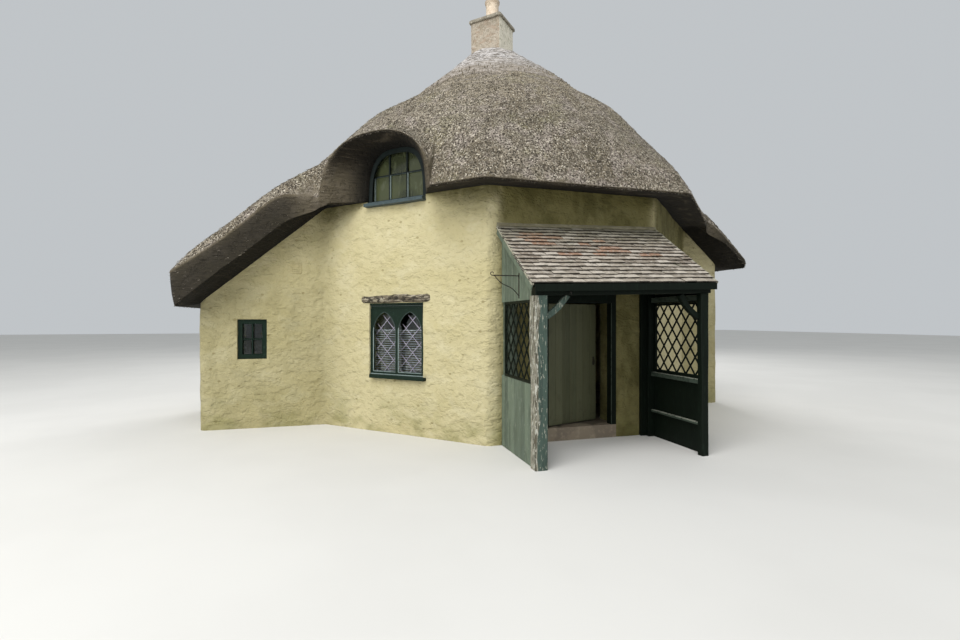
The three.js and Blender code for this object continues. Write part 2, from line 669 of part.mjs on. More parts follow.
function dormerWindow(side, place) {
  const frame = new THREE.Shape(archPoints(DORMER_HALF, DORMER_SILL, DORMER_HEAD));
  const light = archPoints(DORMER_HALF - FRAME_BAR, DORMER_SILL + DORMER_FOOT, DORMER_HEAD - FRAME_BAR);
  frame.holes = [new THREE.Path(light)];
  const body = drawnInFront(frame, FRAME_SETBACK, FRAME_BACK);
  const sill = box(
    WINDOW_MIDDLE - DORMER_HALF, WINDOW_MIDDLE + DORMER_HALF, -SILL_OUT, FRAME_BACK,
    DORMER_SILL - SILL_THICK, DORMER_SILL + BITE,
  );
  addPiece(`dormer_${place}_frame`, against(side, join([body, sill])), 'frame', 0.5);
  const pane = new THREE.Shape(archPoints(
    DORMER_HALF - GLASS_IN, DORMER_SILL + GLASS_IN, DORMER_HEAD - GLASS_IN,
  ));
  const glass = drawnInFront(pane, GLASS_Y, GLASS_Y + GLASS_THICK);
  addPiece(`dormer_${place}_glass`, against(side, glass), 'glass', 0.1);
}

function wingWindow() {
  const [x0, x1] = [WING_WINDOW_MIDDLE - WING_WINDOW_HALF, WING_WINDOW_MIDDLE + WING_WINDOW_HALF];
  const [z0, z1] = [WING_WINDOW_SILL, WING_WINDOW_HEAD];
  const whole = box(x0, x1, FRAME_SETBACK, FRAME_BACK, z0, z1);
  const hole = box(x0 + FRAME_BAR, x1 - FRAME_BAR, 0, 2 * FRAME_BACK, z0 + FRAME_BAR, z1 - FRAME_BAR);
  addPiece('window_wing_frame', against(SIDE.wingLeftFront, cutAway(whole, [hole])), 'frame', 0.5);
  const glass = box(
    x0 + GLASS_IN, x1 - GLASS_IN, GLASS_Y, GLASS_Y + GLASS_THICK, z0 + GLASS_IN, z1 - GLASS_IN,
  );
  addPiece('window_wing_glass', against(SIDE.wingLeftFront, glass), 'glass', 0.1);
}

// Doorway

function buildDoor() {
  const shape = new THREE.Shape([
    [DOOR_LEFT + GAP, FLOOR_TOP + GAP], [DOOR_LEFT + JAMB, FLOOR_TOP + GAP],
    [DOOR_LEFT + JAMB, DOOR_HEAD - JAMB], [DOOR_RIGHT - LATCH_JAMB, DOOR_HEAD - JAMB],
    [DOOR_RIGHT - LATCH_JAMB, FLOOR_TOP + GAP], [DOOR_RIGHT - GAP, FLOOR_TOP + GAP],
    [DOOR_RIGHT - GAP, DOOR_HEAD], [DOOR_LEFT + GAP, DOOR_HEAD],
  ].map(([x, z]) => new THREE.Vector2(x, z)));
  const axisX = DOOR_LEFT + JAMB + LEAF_CLEAR;
  const axisY = -FRONT_Y + LEAF_SETBACK + LEAF_THICK;
  const pin = (radius, bottom, top) => new THREE.CylinderGeometry(radius, radius, top - bottom, HINGE_SIDES)
    .rotateX(Math.PI / 2).translate(0, 0, (bottom + top) / 2);
  const lugs = HINGE_LEVELS.flatMap((level) => [
    pin(HINGE_RADIUS, level, level + HINGE_HEIGHT),
    box(-LEAF_CLEAR - BITE, 0, -HINGE_RADIUS / 2, HINGE_RADIUS / 2, level, level + HINGE_HEIGHT),
  ]).map((lug) => lug.translate(axisX, axisY, 0));
  addPiece('door_frame', join([drawnInFront(shape, -FRONT_Y, -FRONT_Y + JAMB_DEPTH), ...lugs]), 'frame', 0.55);
  const slab = cutAway(
    box(0, LEAF_WIDTH, -LEAF_THICK, 0, LEAF_BOTTOM, LEAF_TOP),
    HINGE_LEVELS.map((level) => pin(HINGE_RADIUS + 2 * GAP, level - GAP, level + HINGE_HEIGHT + GAP)),
  );
  const barrels = HINGE_LEVELS.map((level) => {
    const bottom = level + HINGE_HEIGHT + GAP;
    return pin(HINGE_RADIUS, bottom, bottom + HINGE_HEIGHT);
  });
  const leaf = addPiece('front_door', join([slab, ...barrels]), 'boards', 0.6);
  leaf.position.set(axisX, axisY, 0);
  leaf.rotation.z = THREE.MathUtils.degToRad(LEAF_AJAR);
}

// Porch

const PORCH_FRONT_Y = -FRONT_Y - PORCH_OUT;
const PORCH_BACK_Y = -FRONT_Y - GAP;
const PORCH_PITCH = (PORCH_TOP - PORCH_EAVE) / PORCH_OUT;
const POST_FRONT_Y = PORCH_FRONT_Y + POST_SETBACK;
const porchTopAt = (y) => PORCH_EAVE + PORCH_PITCH * (y - PORCH_FRONT_Y);
const porchUnderAt = (y) => porchTopAt(y) - PORCH_ROOF_THICK;

// Crossed diagonal laths inside a rim, from x0 over the cheek's thickness and from y0 back to y1
function porchLattice(x0, y0, y1) {
  const [z0, z1] = [LATTICE_BOTTOM, LATTICE_TOP];
  const span = y1 - y0 + z1 - z0;
  const slope = Math.atan2(LATTICE_TALL, LATTICE_WIDE);
  const reach = Math.ceil(span / LATTICE_WIDE);
  const laths = [-1, 1].flatMap((lean) => Array.from({ length: 2 * reach + 1 }, (unused, i) => {
    const lath = new THREE.BoxGeometry(LATTICE_THICK, 2 * span, LATTICE_BAR).rotateX(lean * slope);
    const shift = lean * (LATTICE_THICK / 2 - 2);
    lath.translate(x0 + CHEEK / 2 + shift, (y0 + y1) / 2 + (i - reach) * LATTICE_WIDE, (z0 + z1) / 2);
    return toSolid(lath);
  }));
  const field = toSolid(box(x0 - CHEEK, x0 + 2 * CHEEK, y0 + BITE, y1 - BITE, z0 + BITE, z1 - BITE));
  const woven = laths.reduce((whole, lath) => whole.add(lath)).intersect(field);
  const rim = cutAway(box(x0, x0 + CHEEK, y0, y1, z0 + GAP, z1 - GAP), [
    box(x0 - 1, x0 + CHEEK + 1, y0 + LATTICE_RIM, y1 - LATTICE_RIM, z0 + LATTICE_RIM, z1 - LATTICE_RIM),
  ]);
  return toGeometry(toSolid(rim).add(woven));
}

// One side of the porch, its cheek boards, back post and rail in one piece and its lattice in another
function porchSide(name, cheekX, postX, inward) {
  const frontY = POST_FRONT_Y + POST + GAP;
  const backPostY = PORCH_BACK_Y - BACK_POST;
  const upper = drawnFromSide([
    [frontY, LATTICE_TOP], [PORCH_BACK_Y, LATTICE_TOP],
    [PORCH_BACK_Y, porchUnderAt(PORCH_BACK_Y) - GAP], [frontY, porchUnderAt(frontY) - GAP],
  ], cheekX, cheekX + CHEEK);
  const lower = box(cheekX, cheekX + CHEEK, frontY, PORCH_BACK_Y, 0, LATTICE_BOTTOM);
  const [post0, post1] = [postX, postX + inward * BACK_POST].sort((a, b) => a - b);
  const backPost = drawnFromSide([
    [backPostY, 0], [PORCH_BACK_Y, 0],
    [PORCH_BACK_Y, porchUnderAt(PORCH_BACK_Y) - GAP], [backPostY, porchUnderAt(backPostY) - GAP],
  ], post0, post1);
  const [rail0, rail1] = [0, RAIL_DEEP].map((d) => cheekX + CHEEK / 2 + inward * d).sort((a, b) => a - b);
  const rail = box(rail0, rail1, frontY, backPostY + BITE, RAIL_HEIGHT - RAIL_TALL, RAIL_HEIGHT);
  addPiece(`porch_cheek_${name}`, join([upper, lower, backPost, rail]), 'timber');
  addPiece(`porch_lattice_${name}`, porchLattice(cheekX, frontY, backPostY - GAP), 'frame');
}

function porchBrace(x, lean, beamY) {
  const bar = new THREE.BoxGeometry(BRACE_LEG * Math.SQRT2 + BRACE, BRACE, BRACE).rotateY(-lean * Math.PI / 4);
  bar.translate(x + lean * BRACE_LEG / 2, beamY + BEAM_DEPTH / 2, BEAM_BOTTOM - BRACE_LEG / 2);
  const [x0, x1] = [x, x + lean * 2 * BRACE_LEG].sort((a, b) => a - b);
  const keep = box(x0 + GAP, x1 - GAP, beamY, beamY + BEAM_DEPTH, 0, BEAM_BOTTOM + BITE);
  return toGeometry(toSolid(bar).intersect(toSolid(keep)));
}

function buildPorch() {
  addPiece('porch_roof', drawnFromSide([
    [PORCH_FRONT_Y, PORCH_EAVE - PORCH_ROOF_THICK], [PORCH_BACK_Y, porchUnderAt(PORCH_BACK_Y)],
    [PORCH_BACK_Y, porchTopAt(PORCH_BACK_Y)], [PORCH_FRONT_Y, PORCH_EAVE],
  ], PORCH_LEFT - PORCH_SIDE_OUT, PORCH_RIGHT + PORCH_SIDE_OUT), 'tile');
  const beamY = POST_FRONT_Y + (POST - BEAM_DEPTH) / 2;
  const beam = box(
    PORCH_LEFT - BEAM_PAST, PORCH_RIGHT + BEAM_PAST, beamY, beamY + BEAM_DEPTH,
    BEAM_BOTTOM, porchUnderAt(beamY) - GAP,
  );
  addPiece('porch_beam', join([
    beam, porchBrace(PORCH_LEFT + POST, 1, beamY), porchBrace(PORCH_RIGHT - POST, -1, beamY),
  ]), 'timber');
  [['left', PORCH_LEFT], ['right', PORCH_RIGHT - POST]].forEach(([name, x]) => {
    addPiece(`porch_post_${name}`, box(
      x, x + POST, POST_FRONT_Y, POST_FRONT_Y + POST, 0, BEAM_BOTTOM - GAP,
    ), 'timber');
  });
  porchSide('left', PORCH_LEFT + CHEEK_SETBACK, PORCH_LEFT + CHEEK_SETBACK, 1);
  porchSide('right', PORCH_RIGHT - CHEEK_SETBACK - CHEEK, PORCH_RIGHT - CHEEK_SETBACK, -1);
}

buildWalls();
buildFloors();
buildChimney();
buildThatch();
lowerWindow(SIDE.windowWall, 'front');
lowerWindow(SIDE.backWindowWall, 'back');
dormerWindow(SIDE.windowWall, 'front');
dormerWindow(SIDE.backWindowWall, 'back');
wingWindow();
buildDoor();
buildPorch();

export default cottage;
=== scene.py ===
"""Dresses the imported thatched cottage: cob walls, reed thatch, joinery, porch and chimney.

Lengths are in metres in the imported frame: +Z is up, the porch faces -Y and the ground is z = 0.
Sizes of patterns in the finishes are in millimetres.
"""

import logging
import math
from collections.abc import Callable, Iterable, Sequence
from dataclasses import dataclass, field
from enum import Enum, IntEnum

import bmesh
import bpy
import numpy as np
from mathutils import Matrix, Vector
from mathutils.geometry import tessellate_polygon


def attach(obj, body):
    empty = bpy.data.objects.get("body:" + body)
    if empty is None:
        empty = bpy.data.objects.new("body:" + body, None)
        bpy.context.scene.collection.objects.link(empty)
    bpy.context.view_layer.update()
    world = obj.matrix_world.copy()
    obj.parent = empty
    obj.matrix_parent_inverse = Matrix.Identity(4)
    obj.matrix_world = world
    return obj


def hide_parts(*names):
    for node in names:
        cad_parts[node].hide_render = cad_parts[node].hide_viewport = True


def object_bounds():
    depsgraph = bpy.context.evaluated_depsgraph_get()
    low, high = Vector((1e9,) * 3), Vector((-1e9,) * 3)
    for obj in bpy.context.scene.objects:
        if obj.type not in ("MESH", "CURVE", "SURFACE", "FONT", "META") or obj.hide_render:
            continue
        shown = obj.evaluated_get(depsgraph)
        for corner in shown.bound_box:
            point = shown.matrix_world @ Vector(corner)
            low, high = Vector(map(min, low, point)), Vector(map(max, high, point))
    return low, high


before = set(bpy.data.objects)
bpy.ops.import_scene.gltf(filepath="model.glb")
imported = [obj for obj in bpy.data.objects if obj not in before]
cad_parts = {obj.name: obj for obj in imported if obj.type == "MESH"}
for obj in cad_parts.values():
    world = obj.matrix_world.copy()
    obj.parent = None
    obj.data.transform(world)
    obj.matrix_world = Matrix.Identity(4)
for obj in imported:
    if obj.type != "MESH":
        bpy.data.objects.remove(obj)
CAD_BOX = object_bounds()
HOUSE = "house"
DOOR_LEAF = "door_leaf"
# The dressed house keeps this far inside the CAD box, and corners this close are welded
MARGIN = 0.0005
WELD = 1e-6
log = logging.getLogger("cottage")

# Points are rows of coordinates, and values hold one number for each place
Points = np.ndarray
Values = np.ndarray
Pair = tuple[float, float]
Pairs = tuple[Pair, ...]
Three = tuple[float, float, float]
Threes = tuple[Three, ...]
Shade = float | Sequence[float] | Values
Placer = Callable[[Points], Points]


# Finishes


def linear(colour: str) -> tuple[float, float, float, float]:
    """Turn an sRGB hex colour into linear light.

    Args:
        colour: the colour as "#rrggbb".

    Returns:
        Red, green, blue and a full alpha.
    """
    parts = [int(colour[i:i + 2], 16) / 255 for i in (1, 3, 5)]
    red, green, blue = (p / 12.92 if p <= 0.04045 else ((p + 0.055) / 1.055) ** 2.4 for p in parts)
    return red, green, blue, 1.0


def add_node(tree: bpy.types.NodeTree, kind: str, sockets: dict | None = None,
             **settings: object) -> bpy.types.Node:
    """Add a node with its settings and links.

    Args:
        tree: the material's node tree.
        kind: the node's type.
        sockets: a value or another node's output for each named or numbered input.
        settings: the node's own properties.

    Returns:
        The new node.
    """
    node = tree.nodes.new(kind)
    for name, value in settings.items():
        setattr(node, name, value)
    for name, value in (sockets or {}).items():
        if isinstance(value, bpy.types.NodeSocket):
            tree.links.new(value, node.inputs[name])
        else:
            node.inputs[name].default_value = value
    return node


class Mask(Enum):
    """What a layer's mask is drawn from."""

    CLOUD = "soft blotches"
    CELLS = "distance to scattered points"
    TONE = "a number that each separate part of a piece has"
    HEIGHT = "metres above the ground"
    FACING_UP = "how far the surface faces up"
    # Painted shade on the walls and the thatch, with green stain on the walls and bare wood on the posts
    SHADE_AND_WEATHER = "how much water reaches each corner of a piece"


@dataclass(frozen=True)
class Layer:
    """One colour laid over a finish through a mask.

    Attributes:
        colour: the layer's sRGB colour.
        mask: what the mask is drawn from.
        size: the pattern's size in millimetres, the same or one along X, Y and Z.
        low: the mask's value where the layer starts to show.
        high: the mask's value where it covers fully, which may be below low.
        cover: how much of what lies under it the layer hides.
        relief: how far the layer stands proud, in millimetres.
        roughness: the layer's own roughness, or None to leave it.
        detail: how many finer steps a cloud has.
        within: another layer whose mask this one keeps to.
    """

    colour: str
    mask: Mask = Mask.CLOUD
    size: float | Three = 100.0
    low: float = 0.45
    high: float = 0.6
    cover: float = 1.0
    relief: float = 0.0
    roughness: float | None = None
    detail: float = 3.0
    within: "Layer | None" = None


def where_mask(mask: Mask, low: float, high: float) -> Layer:
    """Give the part of a surface that a layer may keep to."""
    return Layer("#000000", mask, low=low, high=high)


@dataclass(frozen=True)
class Finish:
    """A surface as a maker would name it, built from a ground colour and layers.

    Attributes:
        name: the material's name.
        ground: the ground's sRGB colour.
        roughness: the ground's roughness.
        ior: the index of refraction of the outermost layer.
        metallic: 1 for bare metal.
        transmission: the share of light that passes through.
        layers: what lies over the ground, from the lowest up.
    """

    name: str
    ground: str
    roughness: float = 0.8
    ior: float = 1.5
    metallic: float = 0.0
    transmission: float = 0.0
    layers: tuple[Layer, ...] = ()

    def material(self) -> bpy.types.Material:
        """Make the material once and return it.

        Returns:
            The material with its node tree.
        """
        if self.name in bpy.data.materials:
            return bpy.data.materials[self.name]
        made = bpy.data.materials.new(self.name)
        made.use_nodes = True
        tree = made.node_tree
        tree.nodes.clear()
        where = add_node(tree, "ShaderNodeTexCoord").outputs["Object"]
        colour, rough, height = linear(self.ground), self.roughness, 0.0
        for layer in self.layers:
            mask = self.mask_of(tree, where, layer)
            colour = add_node(tree, "ShaderNodeMix", {
                0: mask, 6: colour, 7: linear(layer.colour),
            }, data_type="RGBA").outputs[2]
            if layer.roughness is not None:
                rough = add_node(tree, "ShaderNodeMix", {0: mask, 2: rough, 3: layer.roughness}).outputs[0]
            if layer.relief:
                height = add_node(tree, "ShaderNodeMath", {
                    0: mask, 1: layer.relief / 1000 / max(layer.cover, 0.01), 2: height,
                }, operation="MULTIPLY_ADD").outputs[0]
        bump = add_node(tree, "ShaderNodeBump", {"Height": height, "Strength": 1.0, "Distance": 1.0})
        shader = add_node(tree, "ShaderNodeBsdfPrincipled", {
            "Base Color": colour, "Roughness": rough, "Normal": bump.outputs[0], "IOR": self.ior,
            "Metallic": self.metallic, "Transmission Weight": self.transmission,
        })
        add_node(tree, "ShaderNodeOutputMaterial", {"Surface": shader.outputs[0]})
        return made

    def mask_of(self, tree: bpy.types.NodeTree, where: bpy.types.NodeSocket,
                layer: Layer) -> bpy.types.NodeSocket:
        """Draw a layer's mask.

        Args:
            tree: the material's node tree.
            where: the object coordinates.
            layer: the layer to draw.

        Returns:
            The output that carries the mask from 0 to the layer's cover.
        """
        if layer.mask in (Mask.CLOUD, Mask.CELLS):
            scale = tuple(1000.0 / size for size in np.broadcast_to(layer.size, 3))
            at = add_node(tree, "ShaderNodeVectorMath", {0: where, 1: scale}, operation="MULTIPLY")
            pattern = {"Vector": at.outputs[0], "Scale": 1.0}
        if layer.mask is Mask.CLOUD:
            pattern |= {"Detail": layer.detail, "Roughness": 0.6}
            raw = add_node(tree, "ShaderNodeTexNoise", pattern).outputs[0]
        elif layer.mask is Mask.CELLS:
            raw = add_node(tree, "ShaderNodeTexVoronoi", pattern).outputs["Distance"]
        elif layer.mask in (Mask.TONE, Mask.SHADE_AND_WEATHER):
            named = add_node(tree, "ShaderNodeAttribute", attribute_name=layer.mask.name.lower())
            raw = named.outputs["Fac"]
        else:
            vector = where
            if layer.mask is Mask.FACING_UP:
                vector = add_node(tree, "ShaderNodeNewGeometry").outputs["Normal"]
            raw = add_node(tree, "ShaderNodeSeparateXYZ", {0: vector}).outputs["Z"]
        mask = add_node(tree, "ShaderNodeMapRange", {
            "Value": raw, "From Min": layer.low, "From Max": layer.high, "To Max": layer.cover,
        }, interpolation_type="SMOOTHSTEP").outputs[0]
        if layer.within:
            other = self.mask_of(tree, where, layer.within)
            mask = add_node(tree, "ShaderNodeMath", {0: mask, 1: other}, operation="MULTIPLY").outputs[0]
        return mask


# Limewash brushed in coats over hand-trowelled earth: matt, cream, chalky, with soft dents
COB = Finish(
    "limewashed_cob", "#c3b991", roughness=0.95, ior=1.4, layers=(
        Layer("#b5aa7c", size=(900, 900, 700), low=0.42, high=0.62, cover=0.55),
        Layer("#cdc5a3", size=(420, 420, 300), low=0.5, high=0.66, cover=0.5),
        # Dabs of the trowel are about a hand wide, and the marks of its edge a finger wide
        Layer("#b9af86", size=(150, 150, 105), low=0.38, high=0.66, cover=0.35, relief=13.0),
        Layer("#aca176", size=(70, 70, 48), low=0.55, high=0.7, cover=0.3, relief=-4.5, detail=2.0),
        # The wash's own grit is 2 mm and is drawn at 12 mm so that it shows
        Layer("#c9bf98", size=12, low=0.3, high=0.7, cover=0.25, relief=0.8),
        # Pocks where straw or small stones fell out
        Layer("#8f8257", Mask.CELLS, size=(240, 240, 170), low=0.13, high=0.07, cover=0.6, relief=-5.0),
        # Green stain mixed with painted shade under the eaves, by the folds, on the wings, in the reveals,
        # under the porch's roof and on the right wall, and splashes along the foot
        Layer("#635d30", Mask.SHADE_AND_WEATHER, low=0.0, high=1.0, cover=0.92),
        Layer("#4d4922", size=(300, 300, 500), low=0.42, high=0.6, cover=0.6,
              within=where_mask(Mask.SHADE_AND_WEATHER, 0.2, 0.9)),
        Layer("#7f7c4b", size=(500, 500, 300), low=0.4, high=0.65, cover=0.5,
              within=where_mask(Mask.HEIGHT, 0.7, 0.1)),
    ),
)

# The slopes of the roof, as against its cut edges
COATED = where_mask(Mask.FACING_UP, 0.12, 0.4)
# Its cut edges and its underside
CUT_FACE = where_mask(Mask.FACING_UP, 0.3, 0.0)

# Water reed coat work, dressed with its butts outward: grey, matt, bristly speckle
THATCH = Finish(
    "water_reed_thatch", "#8d8373", roughness=0.97, ior=1.4, layers=(
        Layer("#6e6452", size=(900, 900, 700), low=0.42, high=0.6, cover=0.75),
        # The upper slope dries first and is paler and warmer
        Layer("#b4a58a", Mask.HEIGHT, low=4.2, high=5.9, cover=0.5),
        Layer("#858060", size=(500, 500, 650), low=0.52, high=0.66, cover=0.5),
        Layer("#ab9f97", size=(260, 260, 330), low=0.48, high=0.64, cover=0.6),
        # Reed butts are 6 mm across and are drawn in bunches of 22 mm so that they show
        Layer("#d3cab8", size=(24, 24, 27), low=0.52, high=0.6, cover=0.85, relief=3.5, within=COATED),
        Layer("#2c261d", size=(22, 22, 25), low=0.51, high=0.58, cover=0.95, relief=-5.0, within=COATED),
        Layer("#6b6354", size=(120, 120, 16), low=0.5, high=0.66, cover=0.5, relief=4.0),
        Layer("#574f43", size=(75, 75, 80), low=0.51, high=0.66, cover=0.55, relief=-10.0),
        # The cut face keeps its old dark straw, in layers 25 mm thick, darkened further as painted shade,
        # and the underside is darker still with painted shade
        Layer("#564e3d", Mask.FACING_UP, low=0.42, high=0.12, cover=0.85),
        Layer("#1d1811", Mask.FACING_UP, low=0.15, high=-0.75, cover=0.97),
        Layer("#6b6152", size=(330, 330, 24), low=0.5, high=0.72, cover=0.4, relief=3.0, within=CUT_FACE),
        Layer("#2a2419", size=(120, 120, 20), low=0.5, high=0.68, cover=0.5, relief=-4.0, within=CUT_FACE),
        # Painted shade, deepening in under the eaves towards the wall and over the wings' cut faces
        Layer("#12100b", Mask.SHADE_AND_WEATHER, low=0.1, high=0.9, cover=0.9),
        Layer("#c4bca8", Mask.TONE, low=0.62, high=1.0, cover=0.55),
        Layer("#4a4338", Mask.TONE, low=0.4, high=0.05, cover=0.6),
    ),
)

# Sedge wrapped over the ridge, younger than the coat work: paler, with long soft stems
RIDGE = Finish(
    "sedge_ridge", "#c9c4c0", roughness=0.95, ior=1.4, layers=(
        Layer("#b0a89f", size=(500, 500, 80), low=0.42, high=0.6, cover=0.7),
        Layer("#d3cfcd", size=(160, 160, 30), low=0.5, high=0.6, cover=0.8, relief=4.0),
        Layer("#544c42", size=(130, 130, 26), low=0.51, high=0.58, cover=0.75, relief=-6.0),
        Layer("#6f675b", size=(34, 34, 28), low=0.5, high=0.6, cover=0.7, relief=-4.0),
        # Its lower edge lies thin over the coat work, browner than the top
        Layer("#8f8373", Mask.HEIGHT, low=6.45, high=5.95, cover=0.65),
        # Painted shade on its steep and downturned faces
        Layer("#4d4437", Mask.FACING_UP, low=0.3, high=0.0, cover=0.7),
    ),
)

# Weathered oak left bare: grey, hollowed and checked along the grain
OAK = Finish(
    "weathered_oak", "#6a6151", roughness=0.85, ior=1.45, layers=(
        Layer("#b2a994", size=(160, 160, 26), low=0.49, high=0.58, cover=0.85, relief=4.0),
        Layer("#221d15", size=(95, 95, 44), low=0.51, high=0.58, cover=0.9, relief=-8.0),
        Layer("#332c22", size=(220, 220, 16), low=0.54, high=0.62, cover=0.8, relief=-5.0),
        Layer("#6f6550", size=60, low=0.5, high=0.7, cover=0.4),
    ),
)

# Where the porch's posts have lost their paint
BARE = where_mask(Mask.SHADE_AND_WEATHER, 0.46, 0.56)

# Softwood posts under old oil paint that flakes to grey wood: dull, with pale scabs up the grain
FLAKED_PAINT = Finish(
    "flaked_oil_paint", "#42534a", roughness=0.6, ior=1.4, layers=(
        Layer("#2a3831", size=(40, 40, 500), low=0.45, high=0.65, cover=0.6),
        Layer("#5a6b63", size=(12, 12, 260), low=0.52, high=0.7, cover=0.5, relief=0.8),
        Layer("#a5a596", size=(20, 20, 90), low=0.59, high=0.63, cover=0.85, relief=-1.2, roughness=0.85),
        # Bare wood is weathered in strips about 15 mm wide
        Layer("#949080", size=(22, 22, 90), low=0.3, high=0.4, cover=0.95, relief=-1.5, roughness=0.9,
              within=BARE),
        Layer("#474335", size=(16, 16, 210), low=0.48, high=0.56, cover=0.85, relief=-2.5, within=BARE),
        Layer("#cbcabd", size=(20, 20, 80), low=0.55, high=0.6, cover=0.85, within=BARE),
    ),
)

# Porch boards under the same paint, sound but chalked: grey-green with a faint grain
BOARD_PAINT = Finish(
    "chalked_board_paint", "#677362", roughness=0.7, ior=1.4, layers=(
        Layer("#4c574a", Mask.TONE, low=0.3, high=0.9, cover=0.7),
        Layer("#7b887b", size=(10, 10, 300), low=0.5, high=0.7, cover=0.5, relief=0.6),
        Layer("#454e42", size=(120, 120, 420), low=0.5, high=0.68, cover=0.5),
        Layer("#93988a", size=(26, 26, 110), low=0.62, high=0.68, cover=0.5, relief=-0.6, roughness=0.8),
    ),
)

# Gloss oil paint brushed on window joinery: deep bottle green with a soft shine
GREEN_GLOSS = Finish(
    "green_gloss_joinery", "#0e2116", roughness=0.45, ior=1.26, layers=(
        Layer("#0e1e15", size=90, low=0.45, high=0.65, cover=0.5),
        Layer("#2a4034", size=14, low=0.58, high=0.72, cover=0.4, relief=0.3, roughness=0.5),
        Layer("#4a5f53", size=40, low=0.64, high=0.7, cover=0.3, roughness=0.6),
    ),
)

# The same paint bleached by the weather on the upper windows: slate green and duller, and darkened as
# painted shade under the eyebrows
FADED_GREEN_AND_SHADE = Finish(
    "faded_green_joinery_and_shade", "#18211f", roughness=0.5, ior=1.26, layers=(
        Layer("#111917", size=120, low=0.45, high=0.65, cover=0.6),
        Layer("#26302f", size=25, low=0.58, high=0.7, cover=0.5, relief=0.4, roughness=0.65),
    ),
)

# A slate blue paint on the upper sills, bleached on top
SILL_PAINT = Finish(
    "slate_sill_paint", "#3c4a4c", roughness=0.55, ior=1.4, layers=(
        Layer("#2b3637", size=(90, 90, 40), low=0.45, high=0.65, cover=0.6),
        Layer("#5d6d6f", size=(30, 30, 20), low=0.56, high=0.7, cover=0.5, relief=0.4),
        Layer("#55656a", Mask.FACING_UP, low=0.3, high=0.9, cover=0.8),
    ),
)

# Pale paint on mouldings as a painted highlight where they catch the light, with a dark tone that paints
# shade
BEAD_HIGHLIGHT_AND_SHADE = Finish(
    "bead_paint_highlight_and_shade", "#8d9c98", roughness=0.5, ior=1.45, layers=(
        Layer("#6d7c76", size=(30, 30, 60), low=0.48, high=0.64, cover=0.7, relief=0.3),
        Layer("#3f4e48", Mask.TONE, low=0.4, high=0.1, cover=0.95),
    ),
)

# Boards of the door under khaki oil paint: satin, with brush lines up the grain
DOOR_PAINT = Finish(
    "khaki_door_paint", "#62634a", roughness=0.5, ior=1.4, layers=(
        Layer("#464933", Mask.TONE, low=0.2, high=0.9, cover=0.6),
        Layer("#6b6d55", size=(8, 8, 320), low=0.48, high=0.68, cover=0.5, relief=0.5),
        Layer("#4c4f3c", size=(90, 90, 260), low=0.52, high=0.7, cover=0.4),
        Layer("#3c3e2e", size=50, low=0.5, high=0.7, cover=0.5, within=where_mask(Mask.HEIGHT, 0.5, 0.2)),
    ),
)

# Dark green paint, darkened almost to black as painted shade, on the fascia, the lattice, the door's frame
# and the shaded side of the porch
DARK_PAINT_AND_SHADE = Finish(
    "dark_green_paint_and_shade", "#0b140c", roughness=0.62, ior=1.23, layers=(
        Layer("#080e08", size=(40, 40, 400), low=0.45, high=0.65, cover=0.6),
        Layer("#223026", size=(12, 12, 160), low=0.58, high=0.7, cover=0.5, relief=0.5, roughness=0.7),
    ),
)

# The same dark paint rubbed back to bare, greyed wood on the rails of the porch
RAIL_PAINT = Finish(
    "rubbed_rail_paint", "#3d473d", roughness=0.7, ior=1.35, layers=(
        Layer("#8f9284", Mask.FACING_UP, low=0.2, high=0.8, cover=0.9),
        Layer("#1a231b", size=60, low=0.5, high=0.66, cover=0.7),
    ),
)

# Small plain clay tiles, hand made and long on the roof: dull grey-brown with orange patches and lichen
TILE = Finish(
    "plain_clay_tile", "#9a8f80", roughness=0.9, ior=1.5, layers=(
        Layer("#75695b", Mask.TONE, low=0.5, high=0.05, cover=0.85),
        Layer("#c0b6a8", Mask.TONE, low=0.5, high=0.85, cover=0.85),
        Layer("#905c36", Mask.TONE, low=0.9, high=0.95, cover=0.72),
        Layer("#b7aea4", size=60, low=0.5, high=0.66, cover=0.6, relief=0.6),
        Layer("#5d5448", size=35, low=0.55, high=0.7, cover=0.6, relief=-0.8),
        Layer("#cdc8ba", Mask.CELLS, size=46, low=0.28, high=0.2, cover=0.55, relief=0.5),
        Layer("#4c5238", size=150, low=0.6, high=0.72, cover=0.5),
        # Moss greys the top courses, which the thatch drips on, and the lowest are washed pale
        Layer("#5f6249", Mask.HEIGHT, low=2.55, high=2.95, cover=0.55),
        Layer("#d3ccbc", Mask.HEIGHT, low=2.45, high=2.15, cover=0.22),
        # Each course's lower edge and the joint under it are darkened as painted shade
        Layer("#1d1912", Mask.FACING_UP, low=0.55, high=0.2, cover=0.88),
    ),
)

# Soft-burnt buff clay of a turned pot: even and matt, sooty at its mouth
POT = Finish(
    "buff_fired_clay", "#dccbb4", roughness=0.8, ior=1.5, layers=(
        Layer("#c7b095", size=(120, 120, 60), low=0.48, high=0.65, cover=0.6),
        Layer("#eee2d0", size=(40, 40, 30), low=0.55, high=0.7, cover=0.5, relief=0.4),
        Layer("#4d443a", Mask.HEIGHT, low=7.9, high=8.03, cover=0.7),
        Layer("#8c8067", size=(60, 60, 90), low=0.58, high=0.68, cover=0.5),
    ),
)

